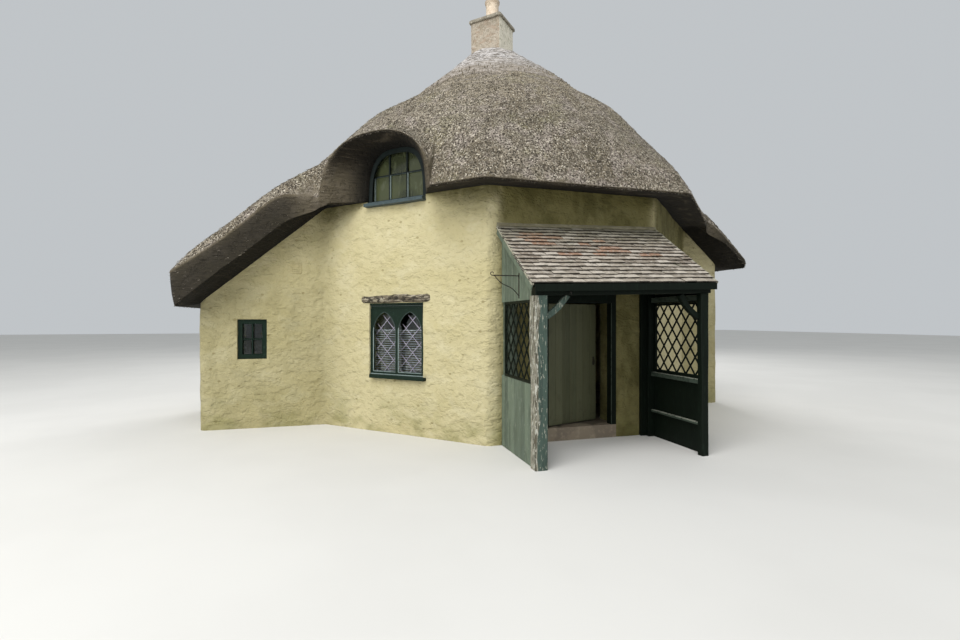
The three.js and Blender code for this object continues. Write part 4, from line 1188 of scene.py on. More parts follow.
@dataclass
class Thatch:
    """The reed roof: one slope round the chimney over the body and both wings, with two eyebrows."""

    plan: Plan = Plan()
    slope: Pairs = (
        (0.0, 7.33), (0.3, 7.08), (0.6, 6.73), (1.0, 6.38), (1.5, 5.95), (2.0, 5.55), (2.5, 5.18),
        (3.0, 4.64), (3.5, 4.1), (4.2, 3.61), (4.9, 2.925), (5.7, 2.31), (6.5, 1.7),
    )
    swells: Threes = ((1.45, 20, 0.010), (1.18, 85, 0.009), (1.32, 145, 0.008))
    swells_from: float = 0.8
    swells_fade: float = 0.4
    lean: float = 0.11
    lean_from: float = 0.3
    lean_to: float = 3.0
    slope_easing: int = 18
    rim_easing: int = 22
    top_easing: int = 14
    eaves_edge: float = 3.42
    eaves_foot: float = 3.385
    eaves_round: float = 0.55
    rim_lean: float = 0.12
    rim_bulge: float = 0.012
    rim_thinnest: float = 0.03
    cut_shade: float = 0.68
    verge_drop: float = 0.13
    verge_lift: float = 0.19
    verge_highest: float = 3.5
    verge_turn: float = 0.75
    depth: float = 0.5
    hidden_edge: float = 0.62
    eyebrow: Three = (1.34, 0.985, 4.275)
    eyebrow_pitch: float = 0.36
    eyebrow_power: float = 2.3
    eyebrow_soft: float = 0.07
    frame_power: float = 3.0
    mouth: Three = (1.34, 1.087, 4.265)
    mouth_out: float = 0.7
    tunnel: Three = (1.39, 0.539, 4.189)
    tunnel_foot: float = 3.4
    tunnel_deep: float = 1.2
    rays: int = 800
    rings: int = 66
    lumps: Pair = (0.010, 0.006)
    loose: int = 26000
    fringe: int = 9000
    reeds_to: float = 5.4
    ridge_reach: float = 1.62
    ridge_bands: float = 6.5
    ridge_proud: float = 0.026
    ridge_highest: float = 6.86
    stack_half: float = 0.322
    trim: float = 0.02

    def __post_init__(self) -> None:
        """Trace the rim, the walls' two faces and the slope once, at closely set angles."""
        plan = self.plan
        out = [-plan.eaves_out] * 12
        out[Side.WING_RIGHT_END] = out[Side.WING_LEFT_END] = -plan.wing_end_out
        self.fine = all_round(4096, -math.pi)
        rim, self.side_fine = self.reach(plan.moved(out), self.fine)
        self.rim_fine = eased(rim - self.trim, self.rim_easing)
        self.wall_fine = self.reach(plan.corners(), self.fine)[0]
        self.inner_fine = self.reach(plan.moved([plan.wall] * 12), self.fine)[0]
        self.radii = np.linspace(0, 6.5, 651)
        table = np.interp(self.radii, *zip(*self.slope))
        self.slope_fine = eased(table, self.slope_easing, mode="reflect", reflect_type="odd")
        self.top_fine = self.rim_top()

    def reach(self, outline: Points, angles: Values) -> tuple[Values, Values]:
        """Find where rays from the axis leave an outline.

        Args:
            outline: the outline's corners.
            angles: the rays' angles.

        Returns:
            The distance along each ray and the side that it crosses.
        """
        rays = np.stack([np.cos(angles), np.sin(angles)], axis=1)
        best = np.full(len(angles), np.inf)
        side = np.zeros(len(angles), int)
        for k in range(12):
            start = outline[k] - np.array([self.plan.axis_x, 0])
            edge = outline[(k + 1) % 12] - outline[k]
            cross = rays[:, 0] * edge[1] - rays[:, 1] * edge[0]
            distance = (start[0] * edge[1] - start[1] * edge[0]) / cross
            share = (start[0] * rays[:, 1] - start[1] * rays[:, 0]) / cross
            hit = (distance > 0) & (share > -1e-9) & (share < 1 + 1e-9) & (distance < best)
            best[hit], side[hit] = distance[hit], k
        return best, side

    def look_up(self, values: Values, angles: Values) -> Values:
        """Read one of the closely set rows at any angles."""
        return np.interp(angles, self.fine, values, period=2 * math.pi)

    def main_slope(self, radius: Values, angle: Values) -> Values:
        """Give the height of the plain slope, which leans a little."""
        share = np.clip((radius - self.lean_from) / (self.lean_to - self.lean_from), 0, 1)
        return (np.interp(radius, self.radii, self.slope_fine)
                + self.lean * np.sin(math.pi * share) * np.cos(angle))

    def at(self, radius: Values, angle: Values) -> tuple[Values, Values]:
        """Give the place in plan of a distance and an angle round the axis."""
        return self.plan.axis_x + radius * np.cos(angle), radius * np.sin(angle)

    def spots(self, radius: Values, angle: Values, z: Values) -> Points:
        """Give the points at distances and angles round the axis and at heights."""
        return np.stack([*self.at(radius, angle), z], axis=1)

    def along_wall(self, side: int, x: Values, y: Values) -> tuple[Values, Values]:
        """Tell where places lie from a wall.

        Args:
            side: the wall's side.
            x: the places' first coordinates.
            y: their second coordinates.

        Returns:
            How far they lie along the wall, and how far into it.
        """
        start, along, inward, _ = self.plan.side(side)
        dx, dy = x - start[0], y - start[1]
        return dx * along[0] + dy * along[1], dx * inward[0] + dy * inward[1]

    def on_wing(self, x: Values) -> Values:
        """Tell how far a place has passed from the body's eaves to the wing's verge."""
        share = np.clip((np.abs(x) - self.plan.fold[0] + 0.05) / self.verge_turn, 0, 1)
        return share ** 2 * (3 - 2 * share)

    def rim_top(self) -> Values:
        """Find the height of the rim's upper edge.

        Returns:
            The height at every closely set angle.
        """
        x, y = self.at(self.rim_fine, self.fine)
        past_fold = np.abs(x) > self.plan.fold[0] - 0.25
        verge = np.minimum(self.main_slope(self.rim_fine, self.fine) - self.verge_drop, self.verge_highest)
        top = eased(np.where(past_fold, verge, self.eaves_edge), self.top_easing)
        middle, half, crown = self.eyebrow
        power = self.eyebrow_power
        for side in WINDOW_SIDES:
            t, _ = self.along_wall(side, x, y)
            share = np.clip((t - middle) / half, -1, 1)
            arch = (crown - self.eaves_edge) * (1 - np.abs(share) ** power) ** (1 / power)
            top = np.where(self.side_fine == side, np.maximum(top, self.eaves_edge + arch), top)
        return top

    def outer(self, radius: Values, angle: Values) -> Values:
        """Find the height of the finished slope, rounded down to the rim or up into an eyebrow.

        Args:
            radius: distances from the axis.
            angle: angles round it.

        Returns:
            The height at each place.
        """
        rim, top = self.look_up(self.rim_fine, angle), self.look_up(self.top_fine, angle)
        out = rim - radius
        drop = self.main_slope(rim, angle) - top
        near = np.clip(1 - out / self.eaves_round, 0, 1)
        swell = self.swell(radius, angle)
        for from_edge in (radius - self.swells_from, out):
            swell = swell * np.clip(from_edge / self.swells_fade, 0, 1)
        rounded = self.main_slope(radius, angle) + swell - np.maximum(drop, 0) * near ** 2
        # The greater of the slope and the eyebrow's hood, with a soft valley between them
        hood = top + self.eyebrow_pitch * out
        soft, apart = self.eyebrow_soft, rounded - hood
        blend = soft * np.log(np.exp(apart / soft) + 1) + hood - soft * math.log(2) * hump(apart, 3 * soft)
        in_eyebrow = (top > self.eaves_edge + 0.04) & (drop < 0.3)
        return np.where(in_eyebrow, blend, rounded)

    def swell(self, radius: Values, angle: Values) -> Values:
        """Find the height of the swells that dressing leaves in the slope.

        Args:
            radius: distances from the axis.
            angle: angles round it.

        Returns:
            The height to add at each place.
        """
        x, y = self.at(radius, angle)
        total = np.zeros(np.broadcast(x, y).shape)
        for length, degrees, height in self.swells:
            turn = math.radians(degrees)
            total += height * np.sin(2 * math.pi * (x * math.cos(turn) + y * math.sin(turn)) / length)
        return total

    def under(self, x: Values, y: Values, base: Values) -> Values:
        """Raise the underside over the tunnels in front of the upper windows.

        Args:
            x: places in plan.
            y: places in plan.
            base: the underside's height without them.

        Returns:
            The underside's height.
        """
        for side in WINDOW_SIDES:
            t, into = self.along_wall(side, x, y)
            share = np.clip(-into / self.mouth_out, 0, 1)
            middle, half, head = (a + (b - a) * share for a, b in zip(self.tunnel, self.mouth))
            power = self.frame_power + (self.eyebrow_power - self.frame_power) * share
            across = np.clip(np.abs(t - middle) / half, 0, 1)
            arch = self.tunnel_foot + (head - self.tunnel_foot) * (1 - across ** power) ** (1 / power)
            base = np.where((into < self.tunnel_deep) & (across < 1), np.maximum(base, arch), base)
        return base

    def angles(self) -> Values:
        """Set the rays out, twice as close over the eyebrows.

        Returns:
            The rays' angles.
        """
        density = np.ones(len(self.fine))
        x, y = self.at(self.rim_fine, self.fine)
        for side in WINDOW_SIDES:
            t, _ = self.along_wall(side, x, y)
            density[(self.side_fine == side) & (np.abs(t - self.eyebrow[0]) < 1.15)] = 2.2
        density *= 0.6 + 0.4 * self.rim_fine / 3.7
        total = np.concatenate([[0], np.cumsum(density)])
        shares = np.linspace(0, total[-1], self.rays, endpoint=False)
        return np.interp(shares, total, np.append(self.fine, math.pi))

    def build(self) -> None:
        """Build the coat work, its loose reeds and the ridge round the stack."""
        self.build_coat()
        self.build_reeds()
        self.build_ridge()

    def build_coat(self) -> None:
        """Build the coat work as one closed skin."""
        angle = self.angles()
        rim, wall, inner, rim_top = (self.look_up(row, angle) for row in (
            self.rim_fine, self.wall_fine, self.inner_fine, self.top_fine))
        rows: list[Points] = []
        shades: list[Values] = []

        def put(radius: Values, z: Values, shade: Shade = 0.0) -> None:
            """Add a row of corners all the way round, and tell how deep in the shade it lies."""
            rows.append(self.spots(radius, angle, z))
            shades.append(np.broadcast_to(shade, len(angle)))

        # The slope from the stack to the rim
        edge, shoulder = self.hidden_edge, rim - self.eaves_round
        for share in np.linspace(0, 1, self.rings):
            radius = edge + (shoulder - edge) * share
            put(radius, self.outer(radius, angle))
        for out in (0.46, 0.38, 0.3, 0.23, 0.17, 0.12, 0.08, 0.045, 0.02, 0.0):
            put(rim - out, self.outer(rim - out, angle))
        top_rows = len(rows)
        # The cut face of the rim
        x, y = self.at(rim, angle)
        on_wing = self.on_wing(x)
        droop = self.plan.wall_top - self.eaves_foot
        level = self.plan.underside(x) + self.verge_lift * on_wing - droop * (1 - on_wing)
        thinnest = rim_top - self.rim_thinnest
        foot = np.minimum(self.under(x, y, np.minimum(level, thinnest)), thinnest)
        lean_in = self.rim_lean * (rim_top - foot)
        for share in (0.1, 0.35, 0.65, 0.9, 1.0):
            put(rim + self.rim_bulge * math.sin(math.pi * share) - lean_in * share,
                rim_top + (foot - rim_top) * share, self.cut_shade * on_wing * min(1.0, 0.75 + share))
        rim_rows = len(rows)
        # The underside, in to the wall, over the wall and back to the stack
        start = rim - lean_in
        lifted = level - self.plan.underside(self.at(start, angle)[0])
        for share in np.linspace(0, 1, 17)[1:]:
            radius = start + (wall - start) * share
            x, y = self.at(radius, angle)
            flat = self.plan.underside(x) + lifted * (1 - share)
            put(radius, self.under(x, y, flat), np.maximum(share ** 1.7, self.cut_shade * on_wing))
        for share in (0.35, 0.7, 1.0):
            radius = wall + (inner - wall) * share
            x, y = self.at(radius, angle)
            put(radius, self.under(x, y, self.plan.underside(x)), 1.0)
        for share in (0.0, 0.5, 1.0):
            radius = inner + (edge - inner) * share
            put(radius, self.under(*self.at(radius, angle), self.main_slope(radius, angle) - self.depth))
        grid = np.array(rows)
        broad, small = self.lumps
        lumps = (broad * mottle(grid, 0.25, 5) + small * mottle(grid, 0.07, 6))[..., None]
        grid[:top_rows] += pointing(angle, 0.85, 0.5) * lumps[:top_rows]
        grid[top_rows - 2:rim_rows] += pointing(angle, 0.0) * 0.8 * lumps[top_rows - 2:rim_rows]
        draft = Draft()
        draft.loft(grid, ring=True, shade_and_weather=np.array(shades))
        draft.piece("thatch_coat", THATCH, "thatch", smooth=60, replaces=[
            "thatch_wing_left", "thatch_window_front", "thatch_front", "thatch_wing_right",
            "thatch_window_back", "thatch_back",
        ])

    def build_reeds(self) -> None:
        """Build the reed ends that stand proud of the slope and hang from its rim."""
        rng = np.random.default_rng(7)
        angle = rng.uniform(-math.pi, math.pi, 3 * self.loose)
        rim = self.look_up(self.rim_fine, angle)
        radius = np.sqrt(rng.uniform(0, 1, len(angle))) * self.reeds_to
        keep = np.nonzero((radius < rim - 0.02) & (radius > self.ridge_reach - 0.3))[0][:self.loose]
        angle, radius = angle[keep], radius[keep]
        z = self.outer(radius, angle) + self.ridge_proud * (radius < self.ridge_reach)
        step = 0.02
        fall = (self.outer(radius + step, angle) - z) / step
        down = pointing(angle, np.clip(fall, -2.5, 0.2))
        base = self.spots(radius, angle, z)
        # The wings' slopes are darker with age
        palest = 1 - 0.55 * self.on_wing(base[:, 0])
        base += 0.004 * rng.normal(size=base.shape)
        self.reeds("thatch_reed_ends", base, down, rng, lift=0.1, palest=palest)
        share = rng.uniform(0, 1, 4 * self.fringe)
        weight = np.concatenate([[0], np.cumsum(self.rim_fine)])
        angle = np.interp(share * weight[-1], weight, np.append(self.fine, math.pi))[:self.fringe]
        rim, top = self.look_up(self.rim_fine, angle), self.look_up(self.top_fine, angle)
        x, y = self.at(rim, angle)
        level = self.plan.underside(x) + self.on_wing(x) * self.verge_lift
        foot = np.minimum(self.under(x, y, level), top - self.rim_thinnest)
        down_rim = rng.uniform(0, 1, len(angle)) ** 1.5
        inset = self.rim_lean * (top - foot) * down_rim + self.rim_bulge
        base = self.spots(rim - inset, angle, top + (foot - top) * down_rim)
        down = pointing(angle, -0.55)
        self.reeds("thatch_eaves_fringe", base, down, rng, lift=0.0, longest=0.045, palest=0.6)

    def reeds(self, name: str, base: Points, down: Points, rng: np.random.Generator,
              lift: float, longest: float = 0.075, palest: Shade = 1.0) -> None:
        """Build short tapered reeds.

        Args:
            name: the piece's name.
            base: where each reed leaves the roof.
            down: which way each points.
            rng: the source of their differences.
            lift: how far their tips rise, as a share of their length.
            longest: the longest reed's length.
            palest: the highest tone of all the reeds or of each.
        """
        count = len(base)
        down = unit(unit(down) + rng.normal(scale=0.12, size=down.shape))
        up = unit(np.array([0.0, 0.0, 1.0]) - down * down[:, 2:])
        side = np.cross(down, up)
        length = rng.uniform(0.5, 1.0, count)[:, None] * longest
        thick = rng.uniform(0.004, 0.008, count)[:, None]
        foot = base - down * 0.02 - up * 0.006
        tip = base + down * length + up * length * lift
        corners = np.stack([foot + side * thick, foot - side * thick, foot + up * thick * 1.4, tip], axis=1)
        wedge = np.array([(0, 2, 1), (0, 1, 3), (1, 2, 3), (2, 0, 3)])
        faces = np.arange(count)[:, None, None] * 4 + wedge
        draft = Draft()
        draft.add(corners, faces.reshape(-1, 3), np.repeat(rng.uniform(0, palest, count), len(wedge)))
        draft.piece(name, THATCH, "thatch", smooth=20)

    def build_ridge(self) -> None:
        """Build the wrapped ridge round the foot of the chimney."""
        angle = all_round(180, -math.pi)
        inner = square_reach(self.stack_half, angle)
        reach = self.ridge_reach + 0.03 * np.sin(angle * 9) + 0.05 * np.sin(angle * 4 + 1)
        reach += 0.05 * mottle(self.spots(reach, angle, reach), 0.12, 35)
        rows = []
        for out, proud in ((-0.06, -0.06), (0.0, -0.02), (0.008, 0.004), (-0.012, 0.018)):
            rows.append(self.spots(reach + out, angle, self.outer(reach + out, angle) + proud))
        # It is wrapped in bands, and settles where it would stand too high at the stack
        for share in np.linspace(0.03, 1, 34):
            radius = reach - 0.012 + (inner - reach + 0.012) * share
            band = 0.010 * np.sin(share * 2 * math.pi * self.ridge_bands)
            z = self.outer(radius, angle) + self.ridge_proud + band
            settled = z - 0.05 * np.log(1 + np.exp((z - self.ridge_highest) / 0.05))
            rows.append(self.spots(radius, angle, settled))
        rows.append(self.spots(inner, angle, self.main_slope(inner, angle) - 0.35))
        grid = np.array(rows)
        shown = grid[2:-1]
        grid[2:-1, :, 2] += 0.010 * mottle(shown, (0.3, 0.3, 0.2), 8) + 0.004 * mottle(shown, 0.07, 9)
        draft = Draft()
        draft.loft(grid, ring=True)
        draft.piece("thatch_ridge", RIDGE, "thatch", smooth=60, replaces=["thatch_collar"])


@dataclass
class Chimney:
    """The rendered stack, its slab and its pot."""

    plan: Plan = Plan()
    foot: float = 0.1803
    top: float = 7.48
    half: float = 0.32
    worn: float = 0.012
    flue_half: float = 0.15
    flue_from: float = 2.6
    slab_half: float = 0.35
    slab_thick: float = 0.075
    slab_edge: Pairs = (
        (0.012, 0.0), (0.002, 0.012), (0.003, 0.05), (0.014, 0.068), (0.05, 0.075))
    slab_hole: Pairs = ((0.135, 0.075), (0.1, 0.075))
    joint: float = 0.0003
    pot: Pairs = (
        (0.1, 0.0), (0.132, 0.0), (0.134, 0.03), (0.128, 0.045), (0.124, 0.2), (0.126, 0.37), (0.139, 0.385),
        (0.146, 0.4), (0.147, 0.435), (0.14, 0.447), (0.104, 0.449), (0.1, 0.44), (0.1, 0.2),
    )
    sides: int = 72

    def ring(self, radius: Shade, z: float) -> Points:
        """Draw a loop round the stack's middle.

        Args:
            radius: its distance from the middle, the same all round or for each corner.
            z: its height.

        Returns:
            The loop's corners.
        """
        angle = all_round(self.sides)
        x = self.plan.axis_x + radius * np.cos(angle)
        return np.stack([x, radius * np.sin(angle), np.full(self.sides, z)], axis=1)

    def square(self, half: float, z: float, worn: float | None = None) -> Points:
        """Draw a loop round a square set cornerwise.

        Args:
            half: half the square's width.
            z: its height.
            worn: how much its corners have lost, or None for as much as the stack's.

        Returns:
            The loop's corners.
        """
        reach = square_reach(half, all_round(self.sides))
        lost = self.worn if worn is None else worn
        return self.ring(np.minimum(reach, half * math.sqrt(2) - lost), z)

    def build(self) -> None:
        """Build the stack, the slab and the pot."""
        levels = [self.foot, 2.0, 4.0, 6.0, *np.linspace(6.5, self.top, 26)]
        outer = np.array([self.square(self.half, z) for z in levels])
        wave = 0.005 * mottle(outer, 0.25, 10) + 0.003 * mottle(outer, (0.09, 0.09, 0.075), 11) - 0.004
        out = outer[..., :2] - np.array([self.plan.axis_x, 0])
        outer[..., :2] += unit(out) * wave[..., None]
        skin = [*outer, *(self.square(self.flue_half, z, 0.0) for z in (self.top, self.flue_from))]
        # Each pair of faces has its own tone, which paints light on the shaded pair and shade on the lit
        # pair
        around = all_round(self.sides) + math.pi / self.sides
        faces = np.tile(0.5 + 0.3 * np.sign(np.cos(around)), len(skin) - 1)
        stack, slab, pot = Draft(), Draft(), Draft()
        stack.loft(np.array(skin), tone=[*faces, 0.5, 0.5])
        stack.piece("stack_render", RENDER, "chimney_masonry", replaces=["chimney_stack"])
        base = self.top + self.joint
        loops = np.array([
            self.ring(self.pot[0][0], base),
            *(self.square(self.slab_half - back, base + up) for back, up in self.slab_edge),
            *(self.ring(radius, base + up) for radius, up in self.slab_hole),
        ])
        loops[1:6, :, :2] *= (1 - 0.006 * np.abs(mottle(loops[1:6], 0.1, 12)))[..., None]
        slab.loft(loops, ring=True)
        slab.piece("chimney_slab", SLAB, "chimney_masonry", replaces=["chimney_cap"])
        start = base + self.slab_thick + self.joint
        pot.loft(np.array([self.ring(radius, start + up) for radius, up in self.pot]), ring=True)
        pot.piece("chimney_clay_pot", POT, "clay", smooth=50, replaces=["chimney_pot"])


def lancet(middle: float, half: float, sill: float, head: float) -> Points:
    """Draw a light with a pointed head.

    Args:
        middle: the light's middle.
        half: half its width.
        sill: the level of its foot.
        head: the level of its point.

    Returns:
        Its edge, anticlockwise from the lower left corner.
    """
    rise = 1.4
    spring, radius = head - half * rise, half * (1 + rise ** 2) / 2
    turn = np.linspace(0, math.acos(1 - half / radius), 13)
    across, up = half - radius + radius * np.cos(turn), spring + radius * np.sin(turn)
    sides = np.linspace(sill, spring, 6)[:-1]
    right = [(middle + half, z) for z in sides] + [(middle + a, z) for a, z in zip(across, up)]
    left = [(middle - (x - middle), z) for x, z in reversed(right[:-1])]
    return np.array(right + left)


def inside(points: Points, edge: Points) -> Values:
    """Tell which points of the plane lie inside an edge.

    Args:
        points: the points.
        edge: the edge's corners in order.

    Returns:
        True for each point that lies inside.
    """
    found = np.zeros(len(points), bool)
    for (x0, z0), (x1, z1) in zip(edge, np.roll(edge, -1, 0)):
        if z0 == z1:
            continue
        crosses = (points[:, 1] < z0) != (points[:, 1] < z1)
        found ^= crosses & (points[:, 0] < x0 + (x1 - x0) * (points[:, 1] - z0) / (z1 - z0))
    return found


def rectangle(x0: float, x1: float, z0: float, z1: float) -> Points:
    """Give the corners of an upright rectangle, anticlockwise from the lower left."""
    return np.array([(x0, z0), (x1, z0), (x1, z1), (x0, z1)])


@dataclass
class PointedWindow:
    """A lower window: two pointed lights with diamond leads, a blind, an oak lintel and a sill."""

    facing: Facing
    plan: Plan = Plan()
    half: float = 0.492
    sill: float = 0.85
    head: float = 1.91
    setback: float = 0.04
    deep: float = 0.08
    rail: float = 0.045
    head_rail: float = 0.13
    foot: float = 0.04
    face: float = 0.018
    mouldings: Threes = ((1.822, 1.834, 0.006), (1.884, 1.909, 0.03))
    stile: float = 0.022
    diamond: Pair = (0.236, 0.237)
    crossing: float = 0.945
    lead: Pair = (0.009, 0.007)
    slat_gap: float = 0.034
    slat: Pair = (0.0025, 0.018)
    blind_in: float = 0.144
    blind_top: float = 1.5
    lintel_ends: Pair = (-0.655, 0.635)
    lintel: Pairs = (
        (-0.014, 1.918), (-0.030, 1.938), (-0.035, 1.965), (-0.034, 1.992), (-0.026, 2.014), (-0.008, 2.028),
        (0.02, 2.032), (0.2995, 2.032), (0.2995, 1.91), (0.02, 1.91),
    )

    @property
    def middle(self) -> float:
        """The window's middle along its wall."""
        return self.plan.window_middle

    def draft(self) -> Draft:
        """Start a drawing against this window's wall."""
        return Draft(self.plan.against(self.facing.value))

    def build(self) -> None:
        """Build the window."""
        x0, x1 = self.middle - self.half, self.middle + self.half
        half = (self.half - 1.5 * self.rail) / 2
        sill, head = self.sill + self.foot, self.head - self.head_rail
        lights = [lancet(self.middle + sign * (half + self.rail / 2), half, sill, head) for sign in (-1, 1)]
        self.build_frame(x0, x1, lights)
        self.build_beads(x0, x1, lights)
        self.build_sill(x0, x1)
        self.build_leads(lights)
        self.build_blind(x0, x1)
        self.build_lintel()
        dress(f"window_{self.facing}_glass", GLASS)

    def build_frame(self, x0: float, x1: float, lights: Sequence[Points]) -> None:
        """Build the frame with its mouldings.

        Args:
            x0: the frame's left edge.
            x1: its right edge.
            lights: the edges of the lights.
        """
        near, back, inset = self.setback, self.setback + self.deep, 0.004
        made = self.draft()
        outline = rectangle(x0, x1, self.sill, self.head - MARGIN)
        centre = outline.mean(axis=0)
        made.plate(outline, lights, near, near + self.face)
        made.plate(outline, [centre + (outline - centre) * 0.965], near + self.face, back)
        for low, high, proud in self.mouldings:
            made.box((x0 + inset, near - proud, low), (x1 - inset, near + 0.01, high))
        for edge in (x0, x1 - self.stile):
            top = self.mouldings[0][0]
            made.box((edge, near - 0.008, self.sill), (edge + self.stile, near + 0.01, top))
        made.piece(f"pointed_window_frame_{self.facing}", GREEN_GLOSS, "painted_frame", bevel=0.003,
                   smooth=30, replaces=[f"window_{self.facing}_frame"])

    def build_beads(self, x0: float, x1: float, lights: Sequence[Points]) -> None:
        """Build the beads round the lights, under the head and along the foot.

        Args:
            x0: the frame's left edge.
            x1: its right edge.
            lights: the edges of the lights.
        """
        near = self.setback
        beads = self.draft()
        for light in lights:
            middle = light.mean(axis=0)
            half = (self.half - 1.5 * self.rail) / 2
            shrunk = middle + (light - middle) * np.array([1 - 0.005 / half, 0.994])
            # A thin dark bead nearly all round as painted shade, and pale ones low on the left and along the
            # foot as painted highlights
            beads.bead(shrunk[:-5], 0.007, near - 0.003, near + 0.006, tone=0.0)
            beads.bead(shrunk[-8:], 0.012, near - 0.005, near + 0.006)
            beads.bead(shrunk[[-1, 0]], 0.011, near - 0.005, near + 0.006)
        # A dark line under the head as painted shade, and a pale one along the foot as a painted highlight
        beads.box((x0 + 0.006, near - 0.014, 1.866), (x1 - 0.006, near + 0.004, 1.871), tone=0.0)
        beads.box((x0 + 0.004, near - 0.014, self.sill), (x1 - 0.004, near + 0.004, self.sill + 0.011))
        beads.piece(f"pointed_window_beads_{self.facing}", BEAD_HIGHLIGHT_AND_SHADE, "painted_frame")

    def build_sill(self, x0: float, x1: float) -> None:
        """Build the sill, which stands out a little to the right.

        Args:
            x0: the frame's left edge.
            x1: its right edge.
        """
        sill, foot = self.draft(), self.sill - 0.05
        sill.box((x0, -0.002, foot), (x1, self.setback + self.deep, self.sill - MARGIN))
        sill.box((x0 + 0.055, -0.07, foot), (x1 + 0.06, 0.0, self.sill - 0.002))
        sill.piece(f"pointed_window_sill_{self.facing}", GREEN_GLOSS, "painted_frame", bevel=0.006)

    def build_leads(self, lights: Sequence[Points]) -> None:
        """Build the diamond leads, cut to each light.

        Args:
            lights: the edges of the lights.
        """
        leads, level = self.draft(), self.setback + self.deep - 0.006
        wide, tall = self.diamond
        for light in lights:
            low, high = light.min(axis=0), light.max(axis=0)
            for lean in (-1, 1):
                for number in range(-8, 9):
                    past = lean * (low[1] - self.crossing) * wide / tall
                    start = np.array([(low[0] + high[0]) / 2 + number * wide + past, low[1]])
                    step = np.array([lean * wide / tall, 1.0]) * (high[1] - low[1])
                    line = start + np.linspace(0, 1, 240)[:, None] * step
                    kept = line[inside(line, light)]
                    if len(kept) > 6:
                        ends = [(p[0], level, p[1]) for p in (kept[0], kept[-1])]
                        leads.bar(*ends, *self.lead, across=(1, 0, -lean * wide / tall))
        leads.piece(f"window_leads_{self.facing}", CAME, "painted_frame")

    def build_blind(self, x0: float, x1: float) -> None:
        """Build the slatted blind behind the glass.

        Args:
            x0: the frame's left edge.
            x1: its right edge.
        """
        blind = self.draft()
        levels = np.arange(self.sill + 0.05, self.blind_top, self.slat_gap)
        left, right, into = x0 + 0.004, x1 - 0.004, self.blind_in
        for level in levels:
            blind.bar((left, into, level), (right, into, level), *self.slat, across=(0, 1, 0.9))
        blind.box((left, 0.132, self.blind_top), (right, 0.158, self.blind_top + 0.015))
        for share in (0.2, 0.5, 0.8):
            x = x0 + (x1 - x0) * share
            blind.box((x - 0.001, 0.134, levels[0]), (x + 0.001, 0.136, self.head - 0.03))
        blind.piece(f"window_blind_{self.facing}", SLAT, "painted_frame")

    def build_lintel(self) -> None:
        """Build the rough oak lintel, blunt at its ends and hollowed by the weather."""
        lintel = self.draft()
        along = np.linspace(*(self.middle + end for end in self.lintel_ends), 60)
        section = np.array(self.lintel)
        fine = np.concatenate([
            np.linspace(a, b, 3, endpoint=False) for a, b in zip(section, np.roll(section, -1, 0))])
        loops = np.array([[(x, w, z) for w, z in fine] for x in along])
        from_end = np.minimum(along - along[0], along[-1] - along)
        blunt = np.clip(from_end / 0.07, 0, 1) ** 0.5
        front = loops[..., 1] < 0.04
        core = np.array([0.04, 1.965])
        shrunk = core + (loops[..., 1:] - core) * (0.45 + 0.55 * blunt)[:, None, None]
        loops[..., 1:] = np.where(front[..., None], shrunk, loops[..., 1:])
        shape = mottle(loops, (0.3, 0.2, 0.3), 13) * 0.014 + mottle(loops, (0.08, 0.1, 0.05), 14) * 0.006
        shape += 0.012 * (along - self.middle)[:, None]
        loops[..., 2] += shape * np.where(loops[..., 2] > 1.97, 1.0, 0.2)
        worn = np.abs(mottle(loops, (0.14, 0.1, 0.05), 15)) * 0.022
        loops[..., 1] += np.where(loops[..., 1] < 0, worn, 0)
        lintel.loft(loops)
        lintel.piece(f"oak_lintel_{self.facing}", OAK, "oak", smooth=50,
                     replaces=[f"window_{self.facing}_lintel"])


